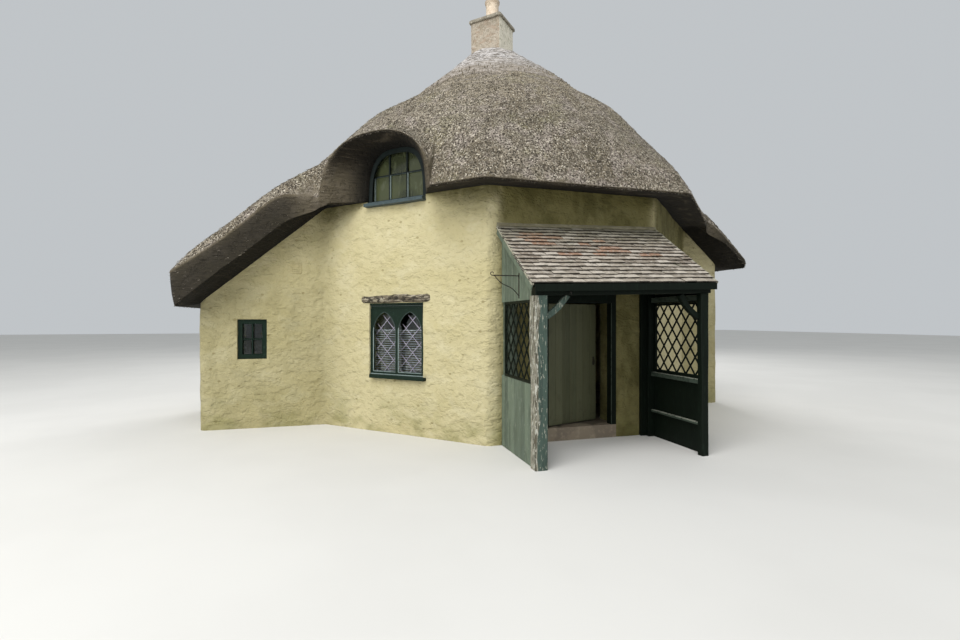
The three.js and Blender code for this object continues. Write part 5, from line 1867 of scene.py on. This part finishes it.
@dataclass
class EyebrowWindow:
    """An upper window under its eyebrow of thatch: an arched frame of three lights with a sill."""

    facing: Facing
    plan: Plan = Plan()
    half: float = 0.535
    sill: float = 3.4
    head: float = 4.185
    rail: float = 0.07
    foot: float = 0.045
    near: float = 0.04
    back: float = 0.12
    face: float = 0.02
    rebate: float = 0.025
    bars: tuple[float, ...] = (1.212, 1.534)
    cross_bar: float = 3.825
    cross_bar_half: Pair = (0.44, 0.009)
    power: float = 3.0

    def arch(self, half: float, sill: float, head: float) -> Points:
        """Draw the arched edge of a frame or a light.

        Args:
            half: half its width.
            sill: the level of its foot.
            head: the level of its crown.

        Returns:
            Its edge, anticlockwise from the lower right corner.
        """
        angle = np.linspace(0, math.pi, 49)
        across, up = np.cos(angle), np.abs(np.sin(angle))
        x = self.plan.window_middle + half * np.sign(across) * np.abs(across) ** (2 / self.power)
        return np.stack([x, sill + (head - sill) * up ** (2 / self.power)], axis=1)

    def build(self) -> None:
        """Build the window."""
        against = self.plan.against(self.facing.value)
        made, sill, beads = Draft(against), Draft(against), Draft(against)
        middle, near, back, step = self.plan.window_middle, self.near, self.back, 0.001
        light = self.arch(self.half - self.rail, self.sill + self.foot, self.head - self.rail)
        outline = self.arch(self.half - step, self.sill, self.head - step)
        rebate = self.arch(self.half - self.rebate, self.sill + 0.02, self.head - self.rebate)
        made.plate(outline, [light], near, near + self.face)
        made.plate(outline, [rebate], near + self.face, back)
        for x in self.bars:
            share = abs(x - middle) / (self.half - self.rail)
            rise = (1 - share ** self.power) ** (1 / self.power)
            top = self.sill + self.foot + (self.head - self.rail - self.sill - self.foot) * rise
            made.box((x - 0.014, back - 0.026, self.sill + 0.03), (x + 0.010, back - 0.002, top + 0.01))
        wide, tall = self.cross_bar_half
        made.box((middle - wide, back - 0.022, self.cross_bar - tall),
                 (middle + wide, back - 0.003, self.cross_bar + tall))
        made.piece(f"eyebrow_window_frame_{self.facing}", FADED_GREEN_AND_SHADE, "painted_frame", bevel=0.003,
                   smooth=30, replaces=[f"dormer_{self.facing}_frame"])
        left, right = middle - self.half, middle + self.half
        sill.box((left, -0.08, self.sill - 0.05), (right, back, self.sill - 0.002))
        sill.box((left + 0.01, -0.05, self.sill - 0.006), (right - 0.01, near + 0.01, self.sill + 0.012))
        sill.piece(f"eyebrow_window_sill_{self.facing}", SILL_PAINT, "painted_frame", bevel=0.003, smooth=30)
        left, foot = left + self.rail, self.cross_bar - tall
        # Pale beads beside the bars as painted highlights, and a dark one under the cross bar as painted
        # shade
        for x in (left + 0.006, *(x + 0.015 for x in self.bars)):
            beads.box((x - 0.0055, back - 0.024, self.sill + 0.03), (x + 0.0055, back - 0.004, foot))
        beads.box((left, back - 0.02, self.cross_bar - 0.013), (right - self.rail, back - 0.006, foot),
                  tone=0.0)
        beads.piece(f"eyebrow_window_beads_{self.facing}", BEAD_HIGHLIGHT_AND_SHADE, "painted_frame")
        dress(f"dormer_{self.facing}_glass", GLASS_PAINTED_REFLECTION)


@dataclass
class WingJoinery:
    """The small window and the louvred vent in the front of the left wing."""

    plan: Plan = Plan()
    left: float = 0.525
    right: float = 0.945
    sill: float = 1.06
    head: float = 1.67
    rail: float = 0.07
    near: float = 0.04
    back: float = 0.12
    bar: Pair = (0.012, 0.01)
    vent: tuple[float, float, float, float] = (1.30, 1.45, 2.395, 2.57)
    vent_proud: float = 0.020
    vent_deep: float = 0.03
    slat_half: float = 0.008

    def build(self) -> None:
        """Build the window and the vent."""
        self.build_window(Draft(self.plan.against(Side.WING_LEFT_FRONT)))
        self.build_vent(*(Draft(self.plan.against(Side.WING_LEFT_FRONT)) for _ in range(2)))

    def build_window(self, made: Draft) -> None:
        """Build the window.

        Args:
            made: a drawing against the wall.
        """
        edge = rectangle(self.left, self.right, self.sill, self.head)
        middle = edge.mean(axis=0)
        hole = middle + np.sign(edge - middle) * (np.abs(edge - middle) - self.rail)
        made.plate(edge, [hole], self.near, self.back)
        (wide, tall), lap = self.bar, self.rail - 0.01
        near, back = self.near + 0.01, self.back - 0.01
        made.box((middle[0] - wide, near, self.sill + lap), (middle[0] + wide, back, self.head - lap))
        made.box((self.left + lap, near, middle[1] - tall), (self.right - lap, back, middle[1] + tall))
        made.piece("wing_window_casement", GREEN_GLOSS, "painted_frame", bevel=0.003, smooth=30,
                   replaces=["window_wing_frame"])
        dress("window_wing_glass", GLASS)

    def build_vent(self, vent: Draft, mesh: Draft) -> None:
        """Build the vent, limewashed with the wall, and a dark iron sheet behind its slats that paints the
        shade in its gaps.

        Args:
            vent: a drawing against the wall.
            mesh: another, for the dark sheet of painted shade behind the slats.
        """
        x0, x1, z0, z1 = self.vent
        outline = rectangle(*self.vent)
        centre = outline.mean(axis=0)
        hole = centre + (outline - centre) * np.array([0.86, 0.84])
        vent.plate(outline, [hole], -self.vent_proud, self.vent_deep)
        for z in np.linspace(z0 + 0.033, z1 - 0.033, 4):
            vent.box((x0 + 0.008, -0.014, z - self.slat_half), (x1 - 0.008, 0.0, z + self.slat_half))
        vent.piece("wing_vent", COB, "cob", bevel=0.0015, smooth=30)
        # A dark iron sheet behind the slats stands for the shade in the vent's gaps
        mesh.box((x0 + 0.005, 0.002, z0 + 0.005), (x1 - 0.005, self.vent_deep, z1 - 0.005))
        mesh.piece("wing_vent_shade_backing", IRON, "painted_frame", bevel=0.0015, smooth=30)


@dataclass
class FrontDoor:
    """The boarded door, standing ajar on its left jamb."""

    hinge: Pair = (-0.414, -3.155)
    ajar: float = 18.0
    wide: float = 0.935
    thick: float = 0.045
    board_back: float = 0.018
    gap: float = 0.002
    bottom: float = 0.2
    top: float = 1.885
    boards: int = 7
    board_joint: float = 0.003
    ledges: tuple[float, ...] = (0.32, 1.0, 1.68)
    ledge_half: float = 0.06
    straps: tuple[float, ...] = (0.555, 1.625)
    strap_long: float = 0.5
    nails: tuple[float, ...] = (0.08, 0.2, 0.32, 0.44)
    handle: Pair = (0.879, 1.04)

    def placer(self) -> Placer:
        """Give the placer for a drawing made along the closed leaf, into the house and up.

        Returns:
            What puts points of the drawing into the frame.
        """
        turn, (x, y) = math.radians(self.ajar), self.hinge
        c, s = math.cos(turn), math.sin(turn)

        def place(points: Points) -> Points:
            """Turn points about the hinge."""
            across, into = points[:, 0], points[:, 1]
            return np.stack([x + across * c - into * s, y + across * s + into * c, points[:, 2]], axis=1)

        return place

    def build(self) -> None:
        """Build the leaf, its ironwork and the bead on the frame's right jamb."""
        rng = np.random.default_rng(3)
        leaf, bead = Draft(self.placer()), Draft()
        low, high, right = self.bottom, self.top, self.wide - 2 * self.gap
        step = right / self.boards
        for i in range(self.boards):
            x0, x1 = self.gap + i * step, self.gap + (i + 1) * step - self.board_joint
            leaf.box((x0, -self.thick, low), (x1, -self.board_back, high), tone=rng.uniform(0, 1))
        # A sheet behind the joints, and the ledges across it
        leaf.box((0.004, -0.0185, low + self.gap), (right, -0.0165, high - self.gap))
        half = self.ledge_half
        for z in self.ledges:
            leaf.box((half, -0.0175, z - half), (self.wide - half, -0.0005, z + half), rng.uniform(0, 1))
        leaf.piece("door_boards", DOOR_PAINT, "door_paint", bevel=0.004, smooth=30, body=DOOR_LEAF,
                   replaces=["front_door"])
        self.build_ironwork()
        bead.box((0.538, -3.256, 0.1805), (0.549, -3.238, 1.895))
        bead.piece("door_frame_bead", RAIL_PAINT, "painted_frame", bevel=0.003, smooth=30)
        dress("door_frame", DARK_PAINT_AND_SHADE)
        dress("door_sill", FLAGS)

    def build_ironwork(self) -> None:
        """Build the strap hinges with their nails, and the ring handle on its plate."""
        iron = Draft(self.placer())
        around = all_round(8)
        for z in self.straps:
            iron.bar((0.012, 0.001, z), (self.strap_long, 0.001, z), 0.034, 0.004)
            for x in self.nails:
                loops = [[(x + r * math.cos(a), y, z + r * math.sin(a)) for a in around]
                         for r, y in ((0.008, 0.002), (0.006, 0.007))]
                iron.loft(np.array(loops))
        (x, z), face = self.handle, -self.thick
        iron.box((x - 0.014, face - 0.003, z - 0.04), (x + 0.014, face + 0.001, z + 0.08))
        turn = np.linspace(-math.pi, math.pi, 25)
        ring = [x + 0.022 * np.sin(turn), np.full(25, face - 0.01), z + 0.026 * np.cos(turn)]
        iron.tube(np.stack(ring, axis=1), 0.004)
        iron.box((x - 0.006, face - 0.014, z + 0.018), (x + 0.006, face, z + 0.032))
        iron.piece("door_ironwork", IRON, "painted_frame", body=DOOR_LEAF, bevel=0.001, smooth=30)


@dataclass
class Porch:
    """The lean-to porch: tiles on rafters, posts, braces, boarded cheeks, lattice and ironwork."""

    left: float = -1.117
    right: float = 1.213
    front: float = -4.51
    wall: float = -3.25
    eave: float = 2.107
    top: float = 2.97
    overhang: float = 0.06
    deck: float = 0.075
    post: float = 0.15
    post_front: float = -4.46
    post_chamfer: float = 0.012
    post_swell: float = 0.014
    slim_from: float = 1.07
    slim_post: float = 0.095
    back_post: float = 0.12
    beam_bottom: float = 1.96
    beam_deep: float = 0.12
    brace_reach: float = 0.27
    brace_sag: float = 0.018
    brace_half: float = 0.033
    cheek: float = 0.03
    cheek_setback: float = 0.02
    cheek_boards: int = 9
    lining: float = 0.008
    lattice: Pair = (0.935, 1.89)
    gauge: float = 0.0925
    tile_wide: float = 0.164
    tile_long: float = 0.19
    tile_thick: float = 0.018
    tile_tilt: float = 0.037
    tile_camber: float = 0.0025
    tile_joint: float = 0.003
    narrowest_tile: float = 0.03
    orange: Threes = (
        (-0.72, 11.5, 0.7), (0.1, 9.5, 0.45), (-0.3, 6.5, 0.25), (0.55, 8.0, 0.25))
    rafters: int = 7
    bedding: Pairs = (
        (0, -0.045), (0, -0.021), (0.012, -0.0165), (0.03, -0.0165), (0.03, -0.045))
    fillet: Pairs = (
        (-0.04, -0.038), (-0.02, -0.012), (-0.002, 0.012), (0.004, -0.06))
    bracket_at: Pair = (-3.9, 2.19)
    bracket_reach: float = 0.34
    bracket_drop: float = 0.24
    hook_x: float = -0.705
    tilt: float = 0.026

    @property
    def pitch(self) -> float:
        """The roof's slope as an angle."""
        return math.atan2(self.top - self.eave, self.wall - self.front)

    @property
    def slant(self) -> float:
        """The roof's length up its slope."""
        return (self.wall - self.front) / math.cos(self.pitch)

    @property
    def verges(self) -> Pair:
        """The roof's left and right edges."""
        return self.left - self.overhang, self.right + self.overhang

    def under(self, y: float) -> float:
        """Give the level of the roof's underside."""
        return self.eave + math.tan(self.pitch) * (y - self.front) - self.deck

    def on_roof(self, points: Points) -> Points:
        """Turn points drawn across the roof, up its slope and out of it into the frame.

        Args:
            points: the points of the drawing.

        Returns:
            The points in the frame.
        """
        c, s = math.cos(self.pitch), math.sin(self.pitch)
        x, up, out = points.T
        placed = [x, self.front + up * c - out * s, self.eave + up * s + out * c]
        return self.settled(np.stack(placed, axis=1))

    def settled(self, points: Points) -> Points:
        """Sink the left of everything over the lattices and lift the right, as the old porch has moved.

        Args:
            points: the points as they were built.

        Returns:
            The points as they lie now.
        """
        share = np.clip((points[:, 2] - self.lattice[1]) / (self.beam_bottom - self.lattice[1]), 0, 1)
        lift = self.tilt * (points[:, 0] - (self.left + self.right) / 2) * share
        return points + lift[:, None] * np.array([0.0, 0.0, 1.0])

    def build(self) -> None:
        """Build the porch."""
        self.build_tiles()
        self.build_roof_frame()
        self.build_verges()
        self.build_trim()
        self.build_beam()
        for hand, edge in ((Hand.LEFT, self.left), (Hand.RIGHT, self.right)):
            outer = edge + hand.value * self.cheek_setback
            self.build_cheek(hand, outer)
            self.build_bracket(hand, outer)
            dress(f"porch_lattice_{hand}", DARK_PAINT_AND_SHADE)
        self.build_hook()

    def build_tiles(self) -> None:
        """Lay the tiles, each course lapped over the one below."""
        rng = np.random.default_rng(11)
        tiles = Draft(self.on_roof)
        x0, x1 = self.verges[0] + 0.004, self.verges[1] - 0.004
        courses = int((self.slant - 0.1) / self.gauge) + 1
        for course in range(courses):
            foot = course * self.gauge + 0.004
            start = x0 - (self.tile_wide / 2 if course % 2 else 0)
            for number in range(int((x1 - start) / self.tile_wide) + 1):
                a = max(x0, start + number * self.tile_wide)
                b = min(x1, start + (number + 1) * self.tile_wide - self.tile_joint)
                if b - a < self.narrowest_tile:
                    continue
                slip = rng.normal(scale=0.0035) * (course > 0)
                rise, twist = rng.uniform(-0.003, 0.001), rng.normal(scale=0.003)
                across = np.linspace(a, b, 4)
                camber = self.tile_camber * (1 - ((across - (a + b) / 2) / ((b - a) / 2)) ** 2)
                end = min(self.tile_long, self.slant - foot - 0.002)
                loops = []
                for up in (0.0, end / 2, end):
                    fall = up * self.tile_tilt / self.tile_long
                    top = -0.004 - fall + rise + twist * (across - a) / (b - a) + camber
                    ups = np.full(4, max(0.001, foot + slip + up))
                    upper = np.stack([across, ups, top], axis=1)
                    lower = np.stack([across, ups, top - self.tile_thick], axis=1)[::-1]
                    loops.append(np.concatenate([upper, lower]))
                tiles.loft(np.array(loops), tone=self.tile_tone(rng, (a + b) / 2, course))
        tiles.piece("porch_tiles", TILE, "roof_tile", bevel=0.0015, smooth=30)

    def tile_tone(self, rng: np.random.Generator, x: float, course: int) -> float:
        """Pick a tile's tone, orange in a few patches.

        Args:
            rng: the source of the tiles' differences.
            x: the tile's middle.
            course: the number of its course.

        Returns:
            The tile's tone.
        """
        for at_x, at_course, chance in self.orange:
            if math.hypot((x - at_x) / 0.3, (course - at_course) / 2.0) < 1 and rng.uniform() < chance:
                return 0.97
        return rng.uniform(0, 0.9)

    def build_roof_frame(self) -> None:
        """Build the boards and rafters under the tiles."""
        made, (x0, x1), slant = Draft(self.on_roof), self.verges, self.slant
        made.box((x0 + 0.02, 0.02, -0.067), (x1 - 0.02, slant - 0.05, -0.06))
        for x in np.linspace(x0 + 0.07, x1 - 0.07, self.rafters):
            made.box((x - 0.022, 0.03, -0.09), (x + 0.022, slant - 0.06, -0.0675))
        made.piece("porch_rafters", DARK_PAINT_AND_SHADE, "painted_timber", bevel=0.002, smooth=30,
                   replaces=["porch_roof"])

    def build_verges(self) -> None:
        """Build the boards along the verges and the mortar that beds the tiles on them."""
        verge, bedding, (x0, x1) = Draft(self.on_roof), Draft(self.on_roof), self.verges
        for x in (x0 + 0.006, x1 - 0.026):
            verge.box((x, 0.006, -0.115), (x + 0.02, self.slant - 0.08, -0.046))
        for x in (x0, x1 - 0.03):
            along = np.linspace(0.004, self.slant - 0.02, 60)
            loops = np.array([[(x + a, up, out) for a, out in self.bedding] for up in along])
            loops[..., 0] += np.where(loops[..., 0] < x + 0.01, 1, 0) * 0.004 * (1 + mottle(loops, 0.07, 24))
            loops[..., 2] += 0.002 * mottle(loops, 0.05, 25)
            bedding.loft(loops)
        verge.piece("porch_verge_boards", BOARD_PAINT, "painted_timber", bevel=0.003, smooth=30)
        bedding.piece("porch_verge_bedding", BEDDING, "roof_tile", smooth=50)

    def build_trim(self) -> None:
        """Build the fascia along the eaves and the mortar fillet against the wall."""
        fascia, fillet, (x0, x1) = Draft(self.settled), Draft(self.settled), self.verges
        fascia.box((self.left - 0.02, self.front + 0.004, self.eave - 0.105),
                   (x1 - 0.024, self.front + 0.026, self.eave - 0.024))
        fascia.piece("porch_fascia", DARK_PAINT_AND_SHADE, "painted_timber", bevel=0.003, smooth=30)
        across = np.linspace(x0 + 0.01, x1 - 0.01, 90)
        loops = np.array([[(x, self.wall + y, self.top + z) for y, z in self.fillet] for x in across])
        loops[..., 1:] += 0.006 * mottle(loops, (0.09, 0.05, 0.05), 22)[..., None]
        fillet.loft(loops)
        fillet.piece("porch_mortar_fillet", MORTAR, "roof_tile", smooth=50)

    def build_beam(self) -> None:
        """Build the beam with the posts and braces under it."""
        beam_y = self.post_front + (self.post - self.beam_deep) / 2
        self.build_post(Hand.LEFT, self.left, self.post, FLAKED_PAINT)
        # The right post and its brace take the near-black paint as painted shade
        self.build_post(Hand.RIGHT, self.slim_from, self.slim_post, DARK_PAINT_AND_SHADE)
        beam = Draft(self.settled)
        beam.box((self.left + 0.004, beam_y, self.beam_bottom),
                 (self.right - 0.004, beam_y + self.beam_deep, self.under(beam_y) - 0.001))
        bend = np.linspace(0, 1, 9)
        sag = self.brace_sag * np.sin(math.pi * bend)
        deep = np.array([0, self.brace_half, 0])
        for hand, x, finish in ((Hand.LEFT, self.left + self.post, FLAKED_PAINT),
                                (Hand.RIGHT, self.slim_from, DARK_PAINT_AND_SHADE)):
            lean = hand.value
            across = x + lean * (self.brace_reach * bend + sag)
            level = self.beam_bottom - self.brace_reach * (1 - bend) - sag
            path = np.stack([across, np.full(len(bend), beam_y + self.beam_deep / 2), level], axis=1)
            side = np.array([-lean, 0, 1]) / math.sqrt(2) * self.brace_half
            edges = [path - side - deep, path + side - deep, path + side + deep, path - side + deep]
            loops = np.stack(edges, axis=1)
            # Its ends are cut to the post and to the beam
            loops[..., 0] = np.maximum(loops[..., 0] * lean, (x + lean * 0.001) * lean) * lean
            loops[..., 2] = np.minimum(loops[..., 2], self.beam_bottom + 0.004)
            brace = Draft(self.settled)
            brace.loft(loops)
            brace.piece(f"porch_brace_{hand}", finish, "painted_timber", bevel=0.005, smooth=30)
        beam.piece("porch_eaves_beam", DARK_PAINT_AND_SHADE, "painted_timber", bevel=0.005, smooth=30,
                   replaces=["porch_beam"])

    def build_post(self, hand: Hand, x: float, thick: float, finish: Finish) -> None:
        """Build a front post, whose paint has gone from the outer edge of its face.

        Args:
            hand: which side it is on.
            x: its left face.
            thick: its thickness both ways.
            finish: its paint.
        """
        levels = np.linspace(0.0, self.beam_bottom - 0.001, 46)
        cut, low, high = self.post_chamfer, self.post_front, self.post_front + thick
        right = x + thick
        section = [(a, low) for a in np.linspace(x + cut, right - cut, 8)]
        section += [(right, low + cut), (right, high - cut), (right - cut, high)]
        section += [(x + cut, high), (x, high - cut), (x, low + cut)]
        loops = np.array([[(a, b, z) for a, b in section] for z in levels])
        loops[..., 0] += 0.003 * mottle(loops, (0.05, 0.05, 0.3), 31)
        loops[..., 1] += 0.003 * mottle(loops, (0.05, 0.05, 0.3), 32)
        # How bare the wood is across the face and round the outer corner
        bare = np.zeros(loops.shape[:2])
        bare[:, :8] = (0.9, 0.57, 0.32, 0.2, 0.14, 0.1, 0.0, 0.0)
        bare[:, 12:] = (0.7, 0.95)
        bare += 0.24 * mottle(loops, (0.05, 0.05, 0.2), 33) + 0.12 * mottle(loops, (0.03, 0.03, 0.06), 34)
        swollen = np.clip((loops[..., 2] - 1.0) / 0.3, 0, 1) * np.clip(1 - (loops[..., 0] - x) / 0.03, 0, 1)
        loops[..., 0] -= self.post_swell * swollen
        post = Draft(self.settled)
        post.loft(loops, shade_and_weather=bare)
        post.piece(f"porch_front_post_{hand}", finish, "painted_timber", smooth=30,
                   replaces=[f"porch_post_{hand}"])

    def build_cheek(self, hand: Hand, outer: float) -> None:
        """Build one boarded side with its rails and its back post.

        Args:
            hand: which side it is.
            outer: the boards' outer face.
        """
        inward, is_left = hand.value, hand is Hand.LEFT
        rng = np.random.default_rng(5 + inward)
        thick = self.post if is_left else self.slim_post
        front, back, gap = self.post_front + thick + 0.001, self.wall - 0.001, 0.002
        boards, rails = Draft(self.settled), Draft(self.settled)
        step = (back - front) / self.cheek_boards
        inner = outer + inward * self.cheek
        low, high = self.lattice[0] - 0.001, self.lattice[1] + 0.001
        x0, x1 = sorted((outer, inner - inward * 0.006))
        for i in range(self.cheek_boards):
            y0, y1 = front + i * step, front + (i + 1) * step - 0.004
            boards.box((x0, y0, 0.0), (x1, y1, low), rng.uniform(0, 1))
            corners = [(y0, high), (y1, high), (y1, self.under(y1) - gap), (y0, self.under(y0) - gap)]
            loops = np.array([[(x, y, z) for y, z in corners] for x in (x0, x1)])
            boards.loft(loops, tone=rng.uniform(0, 1))
        # The lining, and rails along it
        x0, x1 = sorted((inner - inward * self.lining, inner))
        post_face = back - self.back_post
        for z0, z1 in ((0.0, low), (high, self.under(front) - 0.004)):
            boards.box((x0, front, z0), (x1, post_face, z1))
        low, high = self.lattice
        x0, x1 = sorted((inner - inward * 0.004, inner + inward * 0.05))
        for z0, z1 in ((0.355, 0.385), (low - 0.07, low - 0.012), (high + 0.012, high + 0.06)):
            rails.box((x0, front, z0), (x1, post_face + 0.005, z1), tone=0.1)
        # The back post, and the board beside it on the wall
        x0, x1 = sorted((outer + inward * 0.022, outer + inward * self.back_post))
        tops = (0.0, 0.0), (self.under(post_face) - gap, self.under(back) - gap)
        rows = [[(x0, post_face, a), (x1, post_face, a), (x1, back, b), (x0, back, b)] for a, b in tops]
        boards.loft(np.array(rows), tone=0.8)
        x0, x1 = sorted((outer + inward * (self.back_post - gap), outer + inward * 0.2))
        boards.box((x0, back - 0.05, 0.0), (x1, back, self.under(back - 0.05) - gap), tone=0.8)
        rails.piece(f"porch_rails_{hand}", RAIL_PAINT, "painted_timber", bevel=0.004, smooth=30)
        # The right side's boards take the near-black paint as painted shade
        finish = BOARD_PAINT if is_left else DARK_PAINT_AND_SHADE
        boards.piece(f"porch_boards_{hand}", finish, "painted_timber", bevel=0.003, smooth=30,
                     replaces=[f"porch_cheek_{hand}"])

    def build_bracket(self, hand: Hand, outer: float) -> None:
        """Build the forged bracket on the outside of a cheek: a plate, an arm, its curl and its stay.

        Args:
            hand: which side it is.
            outer: the boards' outer face.
        """
        bracket, rod, out = Draft(), 0.005, -hand.value
        (y, level), reach, drop = self.bracket_at, self.bracket_reach, self.bracket_drop
        x0, x1 = sorted((outer, outer + out * rod))
        bracket.box((x0, y - 0.012, level - drop - 0.03), (x1, y + 0.012, level + 0.03))
        bracket.tube(np.array([(outer + out * d, y, level) for d in (0.004, 0.1, 0.2, reach)]), 0.006)
        turn, share = np.linspace(0, 1.5 * math.pi, 14), np.linspace(0, 1, 16)
        curl = reach + 0.018 * np.sin(turn), level + 0.02 - 0.02 * np.cos(turn)
        bow = 0.02 * np.sin(share * 2 * math.pi)
        stay = 0.004 + (reach - 0.03) * share, level - drop * (1 - share) + bow
        for away, z in (curl, stay):
            bracket.tube(np.stack([outer + out * away, np.full(len(z), y), z], axis=1), rod)
        bracket.piece(f"porch_bracket_{hand}", IRON, "painted_frame", smooth=60)

    def build_hook(self) -> None:
        """Build the cup hook under the fascia."""
        hook = Draft(self.settled)
        x, y, top = self.hook_x, self.front + 0.045, self.eave - 0.08
        turn = np.linspace(math.pi / 2, -math.pi, 16)
        path = [(x, y, top), (x, y, top - 0.03)]
        path += [(x, y - 0.018 + 0.018 * math.sin(a), top - 0.05 + 0.02 * math.cos(a)) for a in turn]
        hook.tube(np.array(path), 0.004)
        hook.piece("porch_hook", IRON, "painted_frame", smooth=60)


def dress(node: str, finish: Finish) -> None:
    """Give a CAD node that stays its finish.

    Args:
        node: the node's name.
        finish: what covers it.
    """
    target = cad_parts[node]
    target.data.materials.clear()
    target.data.materials.append(finish.material())
    log.info("%s: carried over in %s", node, finish.name)


@dataclass
class Studio:
    """The floor, the lights, the background and the camera at the photograph's angle."""

    eye: Three = (-3.248, -9.584, 1.66)
    yaw: float = 16.3
    lens: float = 18.9
    floor_reach: float = 60.0
    daylight: float = 0.65

    def build(self) -> None:
        """Build the floor, the lights and the camera."""
        floor_finish = Finish("studio_floor", "#d9d7d2", roughness=0.9, layers=(
            Layer("#d3d1cc", size=2500, low=0.4, high=0.6, cover=0.5),))
        mesh = bpy.data.meshes.new("studio_floor")
        around = np.array([(-1, -1, 0), (1, -1, 0), (1, 1, 0), (-1, 1, 0)])
        mesh.from_pydata((around * self.floor_reach).tolist(), [], [(0, 1, 2, 3)])
        mesh.materials.append(floor_finish.material())
        floor = bpy.data.objects.new("studio_floor", mesh)
        bpy.context.scene.collection.objects.link(floor)
        world = bpy.data.worlds.new("studio_world")
        world.use_nodes = True
        background = world.node_tree.nodes["Background"]
        background.inputs[0].default_value = linear("#e9eef2")
        background.inputs[1].default_value = self.daylight
        bpy.context.scene.world = world
        self.light("sky", (-8.0, -13.0, 18.0), (-0.5, -1.0, 3.0), 12.0, 3200)
        self.light("left", (-12.0, -8.0, 5.0), (-3, -2.0, 2.0), 6.0, 420)
        self.light("rim", (5.0, 13.0, 13.0), (0, 0, 3.5), 9.0, 1500)
        camera = bpy.data.cameras.new("camera")
        camera.lens, camera.sensor_width = self.lens, 36.0
        camera.clip_end = 300
        seen = bpy.data.objects.new("camera", camera)
        seen.location = self.eye
        seen.rotation_euler = (math.pi / 2, 0, -math.radians(self.yaw))
        bpy.context.scene.collection.objects.link(seen)
        bpy.context.scene.camera = seen
        bpy.context.scene.view_settings.view_transform = "Standard"

    def light(self, name: str, place: Sequence[float], target: Sequence[float], size: float,
              power: float) -> None:
        """Add a soft square light.

        Args:
            name: its name.
            place: where it hangs.
            target: what it points at.
            size: its width.
            power: its power in watts.
        """
        lamp = bpy.data.lights.new(name, "AREA")
        lamp.size, lamp.energy = size, power
        made = bpy.data.objects.new(name, lamp)
        made.location = place
        made.rotation_euler = (Vector(target) - Vector(place)).to_track_quat("-Z", "Y").to_euler()
        bpy.context.scene.collection.objects.link(made)


def main() -> None:
    """Build the cottage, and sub-assembly by sub-assembly."""
    logging.basicConfig(level=logging.INFO, format="%(message)s")
    Studio().build()
    CobWalls().build()
    Thatch().build()
    Chimney().build()
    for facing in Facing:
        PointedWindow(facing).build()
        EyebrowWindow(facing).build()
    WingJoinery().build()
    FrontDoor().build()
    Porch().build()
    dress("ground_floor", FLAGS)
    dress("upper_floor", FLOORBOARDS)


if __name__ == "__main__":
    main()
